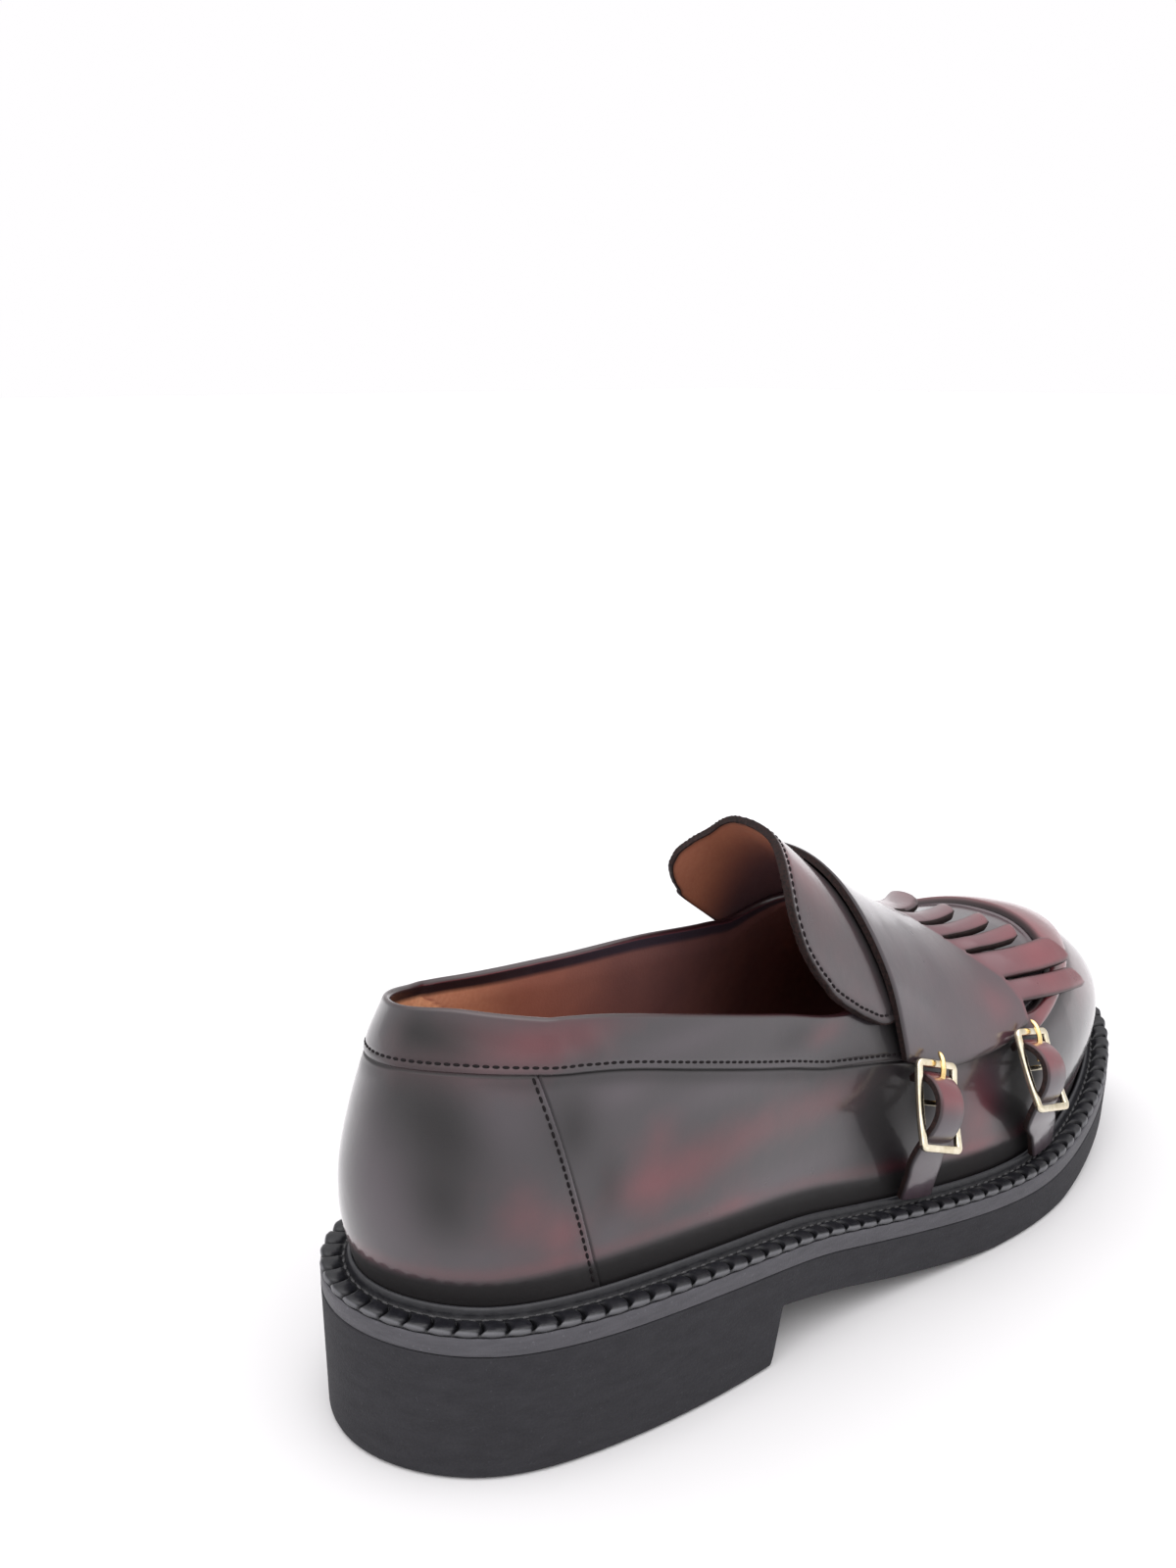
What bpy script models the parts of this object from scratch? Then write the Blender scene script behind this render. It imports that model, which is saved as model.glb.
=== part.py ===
"""Fringed double-buckle moccasin, right shoe, size EU 39, as separate solids.

Shoe space: x runs across (+ is the outer side of the foot), y along the sole from
the back of the heel, z up from the floor, all in millimetres.  The finished meshes
are moved so that the origin lies on the floor under the middle of the whole shoe.
"""
import math

import bmesh
import bpy
import numpy as np

MM = 0.001

# ---- driving dimensions (mm) ------------------------------------------------------
LENGTH = 283.0            # outsole, back of heel to toe tip
MIDDLE = 3.7              # middle of the whole width, buckles included
WELT_MARGIN = 8.4         # upper to the outer edge of the welt
MIDSOLE = 4.7             # height of the smooth band under the welt
WALL = 2.0                # quarter leather and its lining together
LEATHER = 2.1             # tongue, saddle and straps
GAP = 0.3                 # air between neighbouring pieces
BAND = 12.5               # width of the topline band
BAND_STEP = 1.1           # the topline band stands this far proud
COUNTER_STEP = 0.6        # the counter stands this far proud
RIB_PITCH = 5.85          # gimped welt

# ---- sole -------------------------------------------------------------------------
# Control points round the welt, from the back of the heel along the outer side.
OUTLINE = (  # across, along
    (-1.8, 0.0), (23.6, 12.1), (36.0, 35.5), (42.0, 80.0), (42.3, 124.0), (47.9, 181.4),
    (45.0, 218.2), (28.4, 261.5), (2.0, 283.0), (-29.0, 267.0), (-44.5, 231.5),
    (-46.8, 195.0), (-37.0, 150.0), (-29.5, 110.0), (-35.5, 49.0), (-27.0, 11.3))

SOLE_TOP = (  # station, height of the welt's edge
    (0, 37.2), (40, 35.0), (80, 32.6), (110, 28.5), (130, 24.2), (155, 20.0), (180, 17.3),
    (205, 16.6), (240, 21.2), (283, 31.6))

SOLE_BOTTOM = (  # station, height of the tread in front of the heel
    (97, 15.0), (115, 11.0), (135, 6.2), (155, 2.6), (176, 0.0), (212, 0.0), (240, 4.3),
    (283, 14.8))

# ---- last -------------------------------------------------------------------------
HEEL_POLE = 38.0          # heel sections turn round this station
TOE_POLE = 222.0          # toe sections turn round this one

RIDGE = (  # station, height, across, roundness of the side, roundness of the top, swell
    (38, 152.0, -2.0, 2.0, 2.0, 2.0),
    (70, 150.0, -2.5, 2.1, 2.1, 0.5),
    (100, 139.0, -3.0, 2.3, 2.3, 0.5),
    (118, 124.8, -3.0, 2.4, 2.4, 1.0),
    (134, 111.6, -3.0, 2.4, 2.4, 1.4),
    (150, 98.4, -3.0, 2.4, 2.3, 2.0),
    (165, 88.7, -2.8, 2.4, 2.3, 2.2),
    (182, 82.2, -2.4, 2.5, 2.3, 2.6),
    (210, 76.3, -1.5, 2.8, 2.5, 4.5),
    (222, 74.8, -1.0, 2.9, 2.6, 5.0),
    (240, 72.4, 0.0, 2.9, 2.6, 5.5),
    (258, 69.0, 0.0, 2.9, 2.6, 5.5),
    (280, 62.0, 1.0, 2.9, 2.6, 5.5))

TOPLINE = (  # station, height on the outer side, height on the inner side
    (10, 103.0, 101.6), (25, 103.9, 98.5), (36, 102.8, 95.1), (47, 101.2, 93.5),
    (75, 94.2, 92.1), (104, 86.0, 91.5), (128, 79.5, 88.8), (138, 79.5, 88.0),
    (148, 88.0, 92.0), (158, 99.0, 99.0))

HEEL_CURVE = (  # height over the feather line, how far the heel's back leans in
    (0, 0.0), (12, -2.3), (22, -2.4), (38, 0.5), (52, 4.2), (68, 8.5), (90, 14.0))


def smooth(table, column, at):
    """Cubic through one column of a table whose first column is the station."""
    rows = np.array(table, float)
    xs, ys = rows[:, 0], rows[:, column]
    slopes = np.gradient(ys, xs)
    at = np.clip(np.asarray(at, float), xs[0], xs[-1])
    i = np.clip(np.searchsorted(xs, at) - 1, 0, len(xs) - 2)
    h = xs[i + 1] - xs[i]
    u = (at - xs[i]) / h
    return ((1 + 2 * u) * (1 - u) ** 2 * ys[i] + u * (1 - u) ** 2 * h * slopes[i]
            + u * u * (3 - 2 * u) * ys[i + 1] + u * u * (u - 1) * h * slopes[i + 1])


def step(low, high, value):
    """Soft step from 0 at low to 1 at high."""
    u = np.clip((np.asarray(value, float) - low) / (high - low), 0, 1)
    return u * u * (3 - 2 * u)


def closed_curve(points, count):
    """Closed cubic through the points, read at count places equally far apart."""
    points = np.array(points, float)
    n = len(points)
    chord = np.sqrt(np.linalg.norm(np.roll(points, -1, 0) - points, axis=1))
    knot = np.concatenate(([0], np.cumsum(chord)))
    system = np.zeros((n, n))
    right = np.zeros((n, 2))
    for i in range(n):
        before, after = chord[i - 1], chord[i]
        system[i, i - 1] += before
        system[i, i] += 2 * (before + after)
        system[i, (i + 1) % n] += after
        right[i] = 6 * ((points[(i + 1) % n] - points[i]) / after
                        - (points[i] - points[i - 1]) / before)
    bend = np.linalg.solve(system, right)
    at = np.linspace(0, knot[-1], 4000, endpoint=False)
    i = np.searchsorted(knot, at, side="right") - 1
    j = (i + 1) % n
    h = chord[i][:, None]
    a = (knot[i + 1] - at)[:, None] / h
    b = 1 - a
    dense = (a * points[i] + b * points[j]
             + ((a ** 3 - a) * bend[i] + (b ** 3 - b) * bend[j]) * h * h / 6)
    reach = np.concatenate(([0], np.cumsum(
        np.linalg.norm(np.roll(dense, -1, 0) - dense, axis=1))))
    dense = np.vstack([dense, dense[:1]])
    want = np.linspace(0, reach[-1], count, endpoint=False)
    return np.stack([np.interp(want, reach, dense[:, k]) for k in (0, 1)], 1)


EDGE = closed_curve(OUTLINE, 1440)


def inset_edge(inset):
    """The welt's outline moved inwards."""
    along = np.roll(EDGE, -2, 0) - np.roll(EDGE, 2, 0)
    along /= np.linalg.norm(along, axis=1)[:, None]
    return EDGE + inset * np.stack([-along[:, 1], along[:, 0]], 1)


FEATHER = inset_edge(WELT_MARGIN)


def top(station):
    return smooth(SOLE_TOP, 1, station)


def ridge(station):
    """Point of the last's top line above a station, and the roundness of its sections."""
    return [smooth(RIDGE, k, station) for k in (2, 1, 3, 4, 5)]


FOOT_LIFT = 1.5           # the upper stands this far above the welt's edge


def last_point(s, lift, offset=0.0):
    """Point of the last: s in 0..1 round the feather line from the heel's back over the
    outer side, lift in 0..1 from the feather line to the ridge, offset outwards."""
    s, lift = np.broadcast_arrays(np.asarray(s, float), np.asarray(lift, float))
    point = base_point(s, lift)
    if np.all(np.asarray(offset) == 0):
        return point
    ds, dl = 0.0015, 0.004
    low = np.clip(lift - dl, 0, 0.985)
    high = np.clip(lift + dl, 0.01, 0.995)
    lean = np.clip(lift, 0, 0.985)
    a = base_point(s + ds, lean) - base_point(s - ds, lean)
    b = base_point(s, high) - base_point(s, low)
    normal = np.cross(a, b)
    normal /= np.linalg.norm(normal, axis=-1)[..., None]
    return point + normal * np.asarray(offset)[..., None]


def feather_point(s):
    where = (np.asarray(s, float) % 1.0) * len(FEATHER)
    ring = np.vstack([FEATHER, FEATHER[:1]])
    return np.stack([np.interp(where, np.arange(len(ring)), ring[:, k]) for k in (0, 1)], -1)


def base_point(s, lift):
    foot = feather_point(s)
    pole_y = np.clip(foot[..., 1], HEEL_POLE, TOE_POLE)
    pole_x, _, side, crown, swell = ridge(pole_y)
    angle = np.clip(lift, 0, 1) * math.pi / 2
    out = np.cos(angle) ** (2 / side)
    up = np.sin(angle) ** (2 / crown)
    out = np.where(lift >= 1, 0, out)
    reach = np.hypot(foot[..., 0] - pole_x, foot[..., 1] - pole_y)
    out = out + swell / reach * np.sin(math.pi * np.clip(up, 0, 1)) ** 1.3
    low = top(foot[..., 1]) + FOOT_LIFT
    back = np.clip((pole_y - foot[..., 1]) / reach, 0, 1) * (foot[..., 1] < HEEL_POLE)
    rise = (smooth(RIDGE, 1, pole_y) - low) * up
    out = out - smooth(HEEL_CURVE, 1, rise) / reach * back ** 0.8
    x = pole_x + (foot[..., 0] - pole_x) * out
    y = pole_y + (foot[..., 1] - pole_y) * out
    high = smooth(RIDGE, 1, y)
    return np.stack([x, y, low + (high - low) * up], -1)


# ---- places round the shoe --------------------------------------------------------
STATIONS = (38, 47.2, 47.8, 56, 66, 77, 88, 93, 96.5, 104, 113, 122, 130, 138, 148, 158, 168, 178, 188,
            197, 206, 214, 222)
HEEL_STEPS = 16
TOE_STEPS = 20
THROAT = STATIONS.index(158)   # first station where the upper closes over the foot


def place_at(curve, station, side):
    """Place s of a closed curve where it passes a station on the outer (+1) or inner side."""
    count = len(curve)
    tip = int(np.argmax(curve[:, 1]))
    heel = int(np.argmin(curve[:, 1]))
    heel = heel - count if heel > count / 2 else heel
    index = np.arange(heel, tip + 1) if side > 0 else np.arange(tip, heel + count + 1)
    ys = curve[index % count, 1]
    order = np.argsort(ys)
    return np.interp(station, ys[order], index[order]) / count


def columns(curve):
    """Places round a curve: heel round, outer side, toe round, inner side, and for each
    one the index of its point on the spine."""
    outer = [place_at(curve, y, 1) for y in STATIONS]
    inner = [place_at(curve, y, -1) for y in STATIONS]
    last = len(STATIONS) - 1
    heel = np.linspace(inner[0] - 1, outer[0], HEEL_STEPS + 1)[1:-1]
    toe = np.linspace(outer[-1], inner[-1], TOE_STEPS + 1)[1:-1]
    places = list(heel) + outer + list(toe) + inner[::-1]
    spine = ([0] * len(heel) + list(range(last + 1)) + [last] * len(toe)
             + list(range(last, -1, -1)))
    return np.array(places), spine


def ring_at(curve, places):
    where = (np.asarray(places) % 1.0) * len(curve)
    closed = np.vstack([curve, curve[:1]])
    return np.stack([np.interp(where, np.arange(len(closed)), closed[:, k])
                     for k in (0, 1)], 1)


# ---- meshes -----------------------------------------------------------------------
class Skin:
    """Points and faces of one closed solid, in shoe space."""

    def __init__(self):
        self.points = []
        self.faces = []

    def add(self, points):
        start = len(self.points)
        self.points += [tuple(p) for p in points]
        return list(range(start, len(self.points)))

    def bridge(self, a, b, closed=True):
        """Quads between two rows of equal length."""
        count = len(a) if closed else len(a) - 1
        for i in range(count):
            j = (i + 1) % len(a)
            self.face(a[i], a[j], b[j], b[i])

    def face(self, *corners):
        kept = [c for k, c in enumerate(corners) if c != corners[k - 1]]
        if len(kept) > 2:
            self.faces.append(kept)

    def tube(self, loops):
        """Sides through loops of points, closed with flat ends."""
        rings = [self.add(loop) for loop in loops]
        for a, b in zip(rings, rings[1:]):
            self.bridge(a, b)
        self.faces.append(rings[0])
        self.faces.append(rings[-1])

    def band(self, loops):
        """Sides through loops of points, the last joined to the first."""
        rings = [self.add(loop) for loop in loops]
        for a, b in zip(rings, rings[1:] + rings[:1]):
            self.bridge(a, b)

    def sheet(self, outer, inner, solid=None):
        """Two grids of points walled together round every edge of the cells kept."""
        rows, cols = outer.shape[:2]
        if solid is None:
            solid = np.ones((rows - 1, cols - 1), bool)
        top_of = {}
        low_of = {}

        def corner(store, grid, i, j):
            if (i, j) not in store:
                store[i, j] = self.add([grid[i, j]])[0]
            return store[i, j]

        for i in range(rows - 1):
            for j in range(cols - 1):
                if not solid[i, j]:
                    continue
                round_cell = [(i, j), (i, j + 1), (i + 1, j + 1), (i + 1, j)]
                beyond = [(i - 1, j), (i, j + 1), (i + 1, j), (i, j - 1)]
                up = [corner(top_of, outer, *c) for c in round_cell]
                down = [corner(low_of, inner, *c) for c in round_cell]
                self.faces.append(up)
                self.faces.append(down[::-1])
                for k, (a, b) in enumerate(beyond):
                    inside = 0 <= a < rows - 1 and 0 <= b < cols - 1 and solid[a, b]
                    if not inside:
                        n = (k + 1) % 4
                        self.faces.append([up[k], down[k], down[n], up[n]])


def make(name, skin, colour, roughness, metallic=0.0):
    """Blender object of a skin, moved to the part's own origin."""
    mesh = bpy.data.meshes.new(name)
    points = (np.array(skin.points) - (MIDDLE, LENGTH / 2, 0.0)) * MM
    mesh.from_pydata(points.tolist(), [], skin.faces)
    work = bmesh.new()
    work.from_mesh(mesh)
    bmesh.ops.remove_doubles(work, verts=work.verts, dist=0.00001)
    bmesh.ops.triangulate(work, faces=[f for f in work.faces if len(f.verts) > 3])
    bmesh.ops.recalc_face_normals(work, faces=work.faces)
    work.to_mesh(mesh)
    work.free()
    mesh.shade_smooth()
    mesh.set_sharp_from_angle(angle=math.radians(40))
    material = bpy.data.materials.new(name)
    material.use_nodes = True
    shader = material.node_tree.nodes["Principled BSDF"]
    shader.inputs["Base Color"].default_value = (*colour, 1.0)
    shader.inputs["Roughness"].default_value = roughness
    shader.inputs["Metallic"].default_value = metallic
    mesh.materials.append(material)
    piece = bpy.data.objects.new(name, mesh)
    bpy.context.scene.collection.objects.link(piece)
    return piece


# ---- sole unit --------------------------------------------------------------------
def tread(station):
    """Underside: flat heel, breast, arch, flat forefoot and toe spring."""
    rise = np.clip((station - 93.0) / 3.5, 0, 1)
    return rise * np.maximum(smooth(SOLE_BOTTOM, 1, station), 0)


def slab(rings, spine_low, spine_high):
    """Solid of the sole: rings from the middle of the underside round to the top."""
    skin = Skin()
    spine = columns(EDGE)[1]
    rows = [skin.add(ring) for ring in rings]
    for a, b in zip(rows, rows[1:]):
        skin.bridge(a, b)
    for row, middle in ((rows[0], spine_low), (rows[-1], spine_high)):
        points = skin.add(middle)
        count = len(row)
        for i in range(count):
            j = (i + 1) % count
            skin.face(row[i], row[j], points[spine[j]], points[spine[i]])
    return skin


def level(inset, height, part=1.0):
    """Ring of the sole inset from the welt's edge, drawn in towards the spine by part."""
    places, spine = columns(EDGE)
    ring = ring_at(inset_edge(inset), places)
    middle = np.array([(0.0, STATIONS[k]) for k in spine])
    ring = middle + (ring - middle) * part
    return np.column_stack([ring, height(ring[:, 1])])


def spine_line(height):
    ys = np.array(STATIONS, float)
    return np.column_stack([0 * ys, ys, height(ys)])


def outsole():
    def under(y):
        return tread(y)

    def over(y):
        return top(y) - MIDSOLE

    rings = [level(3.0, under, 0.5), level(2.2, under),
             level(0.7, lambda y: under(y) + 0.9), level(0.3, lambda y: under(y) + 2.6),
             level(0.0, over), level(6.0, over, 0.6)]
    return make("outsole", slab(rings, spine_line(under), spine_line(over)),
                (0.018, 0.018, 0.020), 0.75)


def midsole():
    def under(y):
        return top(y) - MIDSOLE + GAP

    def over(y):
        return top(y)

    rings = [level(6.0, under, 0.6), level(0.1, under), level(0.1, over),
             level(6.0, over, 0.6)]
    return make("midsole", slab(rings, spine_line(under), spine_line(over)),
                (0.075, 0.075, 0.080), 0.5)


def insole():
    def under(y):
        return top(y) + 2 * GAP

    def over(y):
        return top(y) + 3.6

    inset = WELT_MARGIN + WALL + 1.3
    rings = [level(inset, under, 0.5), level(inset, under),
             level(inset, lambda y: top(y) + 3.0), level(inset + 0.8, over),
             level(inset, over, 0.5)]
    return make("insole", slab(rings, spine_line(under), spine_line(over)),
                (0.36, 0.17, 0.075), 0.6)


WELT_PROFILE = (  # inset, height, inset and height in the notches
    (0.1, 0.3, 0.5, 0.3), (0.0, 1.0, 0.5, 0.7), (4.7, 1.8, 4.7, 1.2), (5.6, 1.0, 5.6, 1.0),
    (6.9, 3.3, 6.9, 3.3), (7.9, 1.2, 7.9, 1.2), (11.0, 0.3, 11.0, 0.3))


def welt():
    """Gimped strip with a raised bead, standing round the upper."""
    around = np.linalg.norm(np.roll(EDGE, -1, 0) - EDGE, axis=1).sum()
    ribs = round(around / RIB_PITCH)
    places = np.arange(2 * ribs) / (2 * ribs)
    notch = (np.arange(2 * ribs) % 2)[:, None]
    skin = Skin()
    loops = []
    for inset, height, inset_notch, height_notch in WELT_PROFILE:
        flat = (ring_at(inset_edge(inset), places) * (1 - notch)
                + ring_at(inset_edge(inset_notch), places) * notch)
        rise = height + (height_notch - height) * notch[:, 0]
        loops.append(np.column_stack([flat, top(flat[:, 1]) + rise]))
    skin.band(loops)
    return make("welt", skin, (0.014, 0.014, 0.016), 0.3)


# ---- upper ------------------------------------------------------------------------
GROOVE_PLAN = (3.0, 196.0, 32.0, 37.0, 2.2)   # middle across, start, half width, reach, power
LIP_PLAN = (2.0, 196.0, 36.0, 57.0, 1.7)
LINE_FROM = 122.0         # the band's edge leaves the topline here
LINE_TO = 203.0           # and has become the apron's lip here
LIP_STEP = 1.8            # the apron's lip stands this far proud
PLUG_DROP = 0.4           # the apron's plug lies this far under the lip's foot
GROOVE_DROP = 1.2         # and the seam round it this far
APRON_FROM = 196.0        # the band widens into the apron between these stations
APRON_TO = 206.0
SEAM = 47.5               # foot of the counter seam
SEAM_LEAN = 0.071         # how far it leans towards the heel, in places round the shoe


def outside_plan(plan, x, y):
    """Positive outside a U-shaped line of the apron."""
    middle, start, half, reach, power = plan
    forward = np.clip((y - start) / reach, 0, None)
    return np.abs((x - middle) / half) ** power + forward ** power - 1


def top_edge_height(point):
    """Height of the topline over a place of the last."""
    outer = smooth(TOPLINE, 1, point[..., 1])
    inner = smooth(TOPLINE, 2, point[..., 1])
    share = step(-16, 16, point[..., 0] + 3)
    return inner + (outer - inner) * share


def from_heel(s):
    """How far round from the heel's back a place is, and the side it is on."""
    near = (s + 0.5) % 1.0 - 0.5
    return abs(near), math.copysign(1.0, near)


def seam_lean(s):
    """The sections beside the counter seam lean with it."""
    away, side = from_heel(s)
    seam = from_heel(place_at(FEATHER, SEAM, side))[0]
    share = float(step(0, seam, away) - step(seam, 2 * seam, away))
    return -side * SEAM_LEAN * share


class Section:
    """One section of the last, from the feather line up to the topline or the ridge."""
    LIFTS = np.linspace(0, 1, 240)

    def __init__(self, s, closed):
        self.places = s + seam_lean(s) * self.LIFTS
        self.points = base_point(self.places, self.LIFTS)
        self.reach = np.concatenate(([0], np.cumsum(
            np.linalg.norm(np.diff(self.points, axis=0), axis=1))))
        self.end = self.reach[-1]
        if not closed:
            over = self.points[:, 2] - top_edge_height(self.points)
            self.end = self.crossing(over)

    def crossing(self, values):
        """Reach at which the values first turn positive."""
        k = int(np.argmax(values > 0))
        part = values[k - 1] / (values[k - 1] - values[k])
        return self.reach[k - 1] + part * (self.reach[k] - self.reach[k - 1])

    def lift(self, reach):
        return np.interp(reach, self.reach, self.LIFTS)

    def place(self, reach):
        return np.interp(reach, self.reach, self.places)

    def apron(self, plan):
        return self.crossing(-outside_plan(plan, self.points[:, 0], self.points[:, 1]))


def upper_rows(s, station, closed):
    """Reaches of the upper's rows in one section and how far each stands proud."""
    section = Section(s, closed)
    blend = float(step(LINE_FROM, LINE_TO, station))
    if station <= LINE_FROM:
        edge = section.end - BAND
        groove = section.end - BAND / 2
    else:
        side = 1 if 0 < s < 0.5 else -1
        behind = Section(place_at(FEATHER, LINE_FROM, side), False)
        low = behind.end - BAND
        lip = section.apron(LIP_PLAN) if station > APRON_FROM else None
        if lip is None:
            ahead = Section(place_at(FEATHER, LINE_TO, side), True)
            edge = low + (ahead.apron(LIP_PLAN) - low) * blend
            gap = ahead.apron(GROOVE_PLAN) - ahead.apron(LIP_PLAN)
            groove = edge + BAND / 2 + (gap - BAND / 2) * blend
        else:
            edge = lip
            groove = section.apron(GROOVE_PLAN)
    share = float(step(APRON_FROM, APRON_TO, station))
    proud = BAND_STEP + (LIP_STEP - BAND_STEP) * share
    plug = proud + (-PLUG_DROP - proud) * share
    seam = proud - (GROOVE_DROP + proud) * share
    slope = min(0.9, (groove - edge) * 0.25)
    rest = section.end - (groove + slope)
    away, side = from_heel(s)
    low = COUNTER_STEP if away < from_heel(place_at(FEATHER, SEAM, side))[0] else 0.0
    rows = [(0.0, 0.0), (0.22 * edge, low), (0.48 * edge, low), (0.75 * edge, low),
            (edge - 0.3, low), (edge + 0.3, proud),
            (edge + 0.3 + 0.5 * (groove - slope - edge), proud), (groove - slope, proud),
            (groove, seam), (groove + slope, plug), (groove + slope + 0.33 * rest, plug),
            (groove + slope + 0.67 * rest, plug), (section.end, plug)]
    return section, rows


def upper():
    """Hollow quarters, vamp and apron, open at the collar and underneath."""
    places, spine = columns(FEATHER)
    count = len(places)
    stations = ring_at(FEATHER, places)[:, 1]
    closed = [k >= THROAT and HEEL_POLE < y for k, y in zip(spine, stations)]
    outer, inner = [], []
    for s, k, y, shut in zip(places, spine, stations, closed):
        section, rows = upper_rows(s, y if k in (0, len(STATIONS) - 1) else STATIONS[k], shut)
        reach, proud = np.array(rows).T
        outer.append(last_point(section.place(reach), section.lift(reach), proud + 1e-6))
        reach = np.linspace(0, section.end, 8)
        inner.append(last_point(section.place(reach), section.lift(reach), -WALL))
    outer, inner = np.array(outer), np.array(inner)
    foot = top(stations) + FOOT_LIFT
    outer[:, 0, 2] = foot
    inner[:, 0, 2] = foot
    skin = Skin()
    last_rows = []
    for grid, drop in ((outer, -PLUG_DROP), (inner, -WALL)):
        rows = [skin.add(grid[:, r]) for r in range(grid.shape[1])]
        ends = rows[-1]
        shared = {}
        for i in range(count):
            if closed[i]:
                k = spine[i]
                if k not in shared:
                    y = STATIONS[k]
                    share = float(step(APRON_FROM, APRON_TO, y))
                    d = BAND_STEP + (drop - BAND_STEP) * share if drop > -WALL else drop
                    pole_x, height = ridge(y)[:2]
                    slope = (smooth(RIDGE, 1, y + 2) - smooth(RIDGE, 1, y - 2)) / 4
                    length = math.hypot(1, slope)
                    shared[k] = skin.add([(pole_x, y - slope / length * d,
                                           height + d / length)])[0]
                ends[i] = shared[k]
        for a, b in zip(rows, rows[1:]):
            skin.bridge(a, b)
        last_rows.append((rows[0], ends))
    (outer_foot, outer_end), (inner_foot, inner_end) = last_rows
    skin.bridge(outer_foot, inner_foot)
    for i in range(count):
        j = (i + 1) % count
        if not (closed[i] and closed[j]):
            skin.face(outer_end[i], outer_end[j], inner_end[j], inner_end[i])
    used = sorted({c for f in skin.faces for c in f})
    renumber = {c: n for n, c in enumerate(used)}
    skin.points = [skin.points[c] for c in used]
    skin.faces = [[renumber[c] for c in f] for f in skin.faces]
    return make("upper", skin, (0.075, 0.010, 0.014), 0.22)


# ---- over the instep --------------------------------------------------------------
def over(station, girth, offset):
    """Point over the foot: girth runs from -1 at the inner feather line over the ridge
    at 0 to +1 at the outer feather line."""
    lift = 1 - np.abs(girth)
    outer = last_point(place_at(FEATHER, station, 1), lift, offset)
    inner = last_point(place_at(FEATHER, station, -1), lift, offset)
    share = np.clip(0.5 + np.asarray(girth) / 0.02, 0, 1)[..., None]
    return inner + (outer - inner) * share


# ---- tongue -----------------------------------------------------------------------
TONGUE_OUT = 0.640        # girth of the tongue's edge on the outer side
TONGUE_IN = 0.529         # and on the inner side
TONGUE_FRONT = 166.0
TONGUE_TAPER = 0.34       # share of its width it loses under the saddle
TONGUE_TAPER_FROM = 136.0
TONGUE_UNDER = BAND_STEP + GAP

TONGUE_TOP = (  # share of the half girth, rear edge on the outer side, on the inner side
    (0.0, 121.5, 121.5), (0.25, 119.2, 121.6), (0.44, 115.4, 120.6), (0.62, 112.2, 116.8),
    (0.77, 111.3, 113.4), (0.875, 113.6, 113.4), (0.943, 118.4, 117.2),
    (0.985, 124.2, 123.5), (1.0, 130.5, 135.0))

TONGUE_SHARES = (0.0, 0.2, 0.4, 0.6, 0.77, 0.88, 0.95, 0.985, 1.0)
TONGUE_ROWS = (0.0, 0.08, 0.2, 0.34, 0.5, 0.66, 0.82, 1.0)


def tongue_side(station, outer_side):
    """Girth of the tongue's edge: it narrows where the saddle covers it."""
    full = np.where(outer_side, TONGUE_OUT, TONGUE_IN)
    return full * (1 - TONGUE_TAPER * step(TONGUE_TAPER_FROM, TONGUE_FRONT, station))


def tongue():
    shares = np.array([-g for g in TONGUE_SHARES[:0:-1]] + list(TONGUE_SHARES))
    size = np.abs(shares)
    rear = np.where(shares > 0, smooth(TONGUE_TOP, 1, size), smooth(TONGUE_TOP, 2, size))
    along = np.array(TONGUE_ROWS)[:, None]
    station = rear + (TONGUE_FRONT - rear) * along
    girth = shares * tongue_side(station, shares > 0)
    skin = Skin()
    skin.sheet(over(station, girth, TONGUE_UNDER + LEATHER),
               over(station, girth, np.full(girth.shape, TONGUE_UNDER)))
    return make("tongue", skin, (0.075, 0.010, 0.014), 0.22)


# ---- saddle and fringe ------------------------------------------------------------
SADDLE_UNDER = BAND_STEP + 0.5
SADDLE_OVER = TONGUE_UNDER + LEATHER + 2.0 * GAP
FRINGE_UNDER = LIP_STEP + 0.6
STRIP_GAP = 0.8

SADDLE_REAR = (  # girth, station of the rear edge
    (-1.0, 146.0), (-0.8, 145.0), (-0.5, 141.5), (-0.25, 138.5), (0.0, 136.5),
    (0.2, 137.0), (0.35, 138.6), (0.5, 141.0), (0.62, 142.9), (0.7, 144.7))

SADDLE_SIDE = (  # station, girth of the lower edge on the outer side
    (135.0, 0.70), (143.5, 0.70), (159.4, 0.695), (173.8, 0.661), (187.2, 0.626),
    (197.5, 0.583))

FRINGE = (  # slit: girth, station; tip beyond it: station and girth inside, outside; rise
    (-0.545, 191.0, 221.0, -0.562, 223.0, -0.490, 0.3),
    (-0.450, 188.5, 215.0, -0.480, 214.0, -0.415, 0.3),
    (-0.355, 185.0, 207.0, -0.402, 205.0, -0.345, 0.2),
    (-0.262, 182.0, 200.0, -0.332, 198.0, -0.280, 0.2),
    (-0.175, 179.5, 194.0, -0.266, 192.5, -0.210, 0.0),
    (-0.095, 178.0, 190.5, -0.196, 190.0, -0.135, 0.0),
    (-0.018, 177.5, 199.0, -0.118, 199.0, -0.005, 2.0),
    (0.062, 178.0, 204.5, 0.015, 202.0, 0.090, 1.2),
    (0.140, 180.0, 210.5, 0.102, 208.0, 0.186, 1.2),
    (0.205, 184.0, 216.0, 0.198, 213.0, 0.284, 1.2),
    (0.275, 188.5, 225.0, 0.318, 230.5, 0.458, 1.8),
    (0.415, 196.3, 228.5, 0.476, 232.5, 0.580, 0.4),
    (0.515, 198.4, 0.0, 0.0, 0.0, 0.0, 0.0))

SADDLE_INNER = (  # girth on the inner side, station of the front edge
    (-0.985, 186.0), (-0.93, 186.3), (-0.84, 187.2), (-0.74, 188.0), (-0.64, 189.0))

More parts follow.
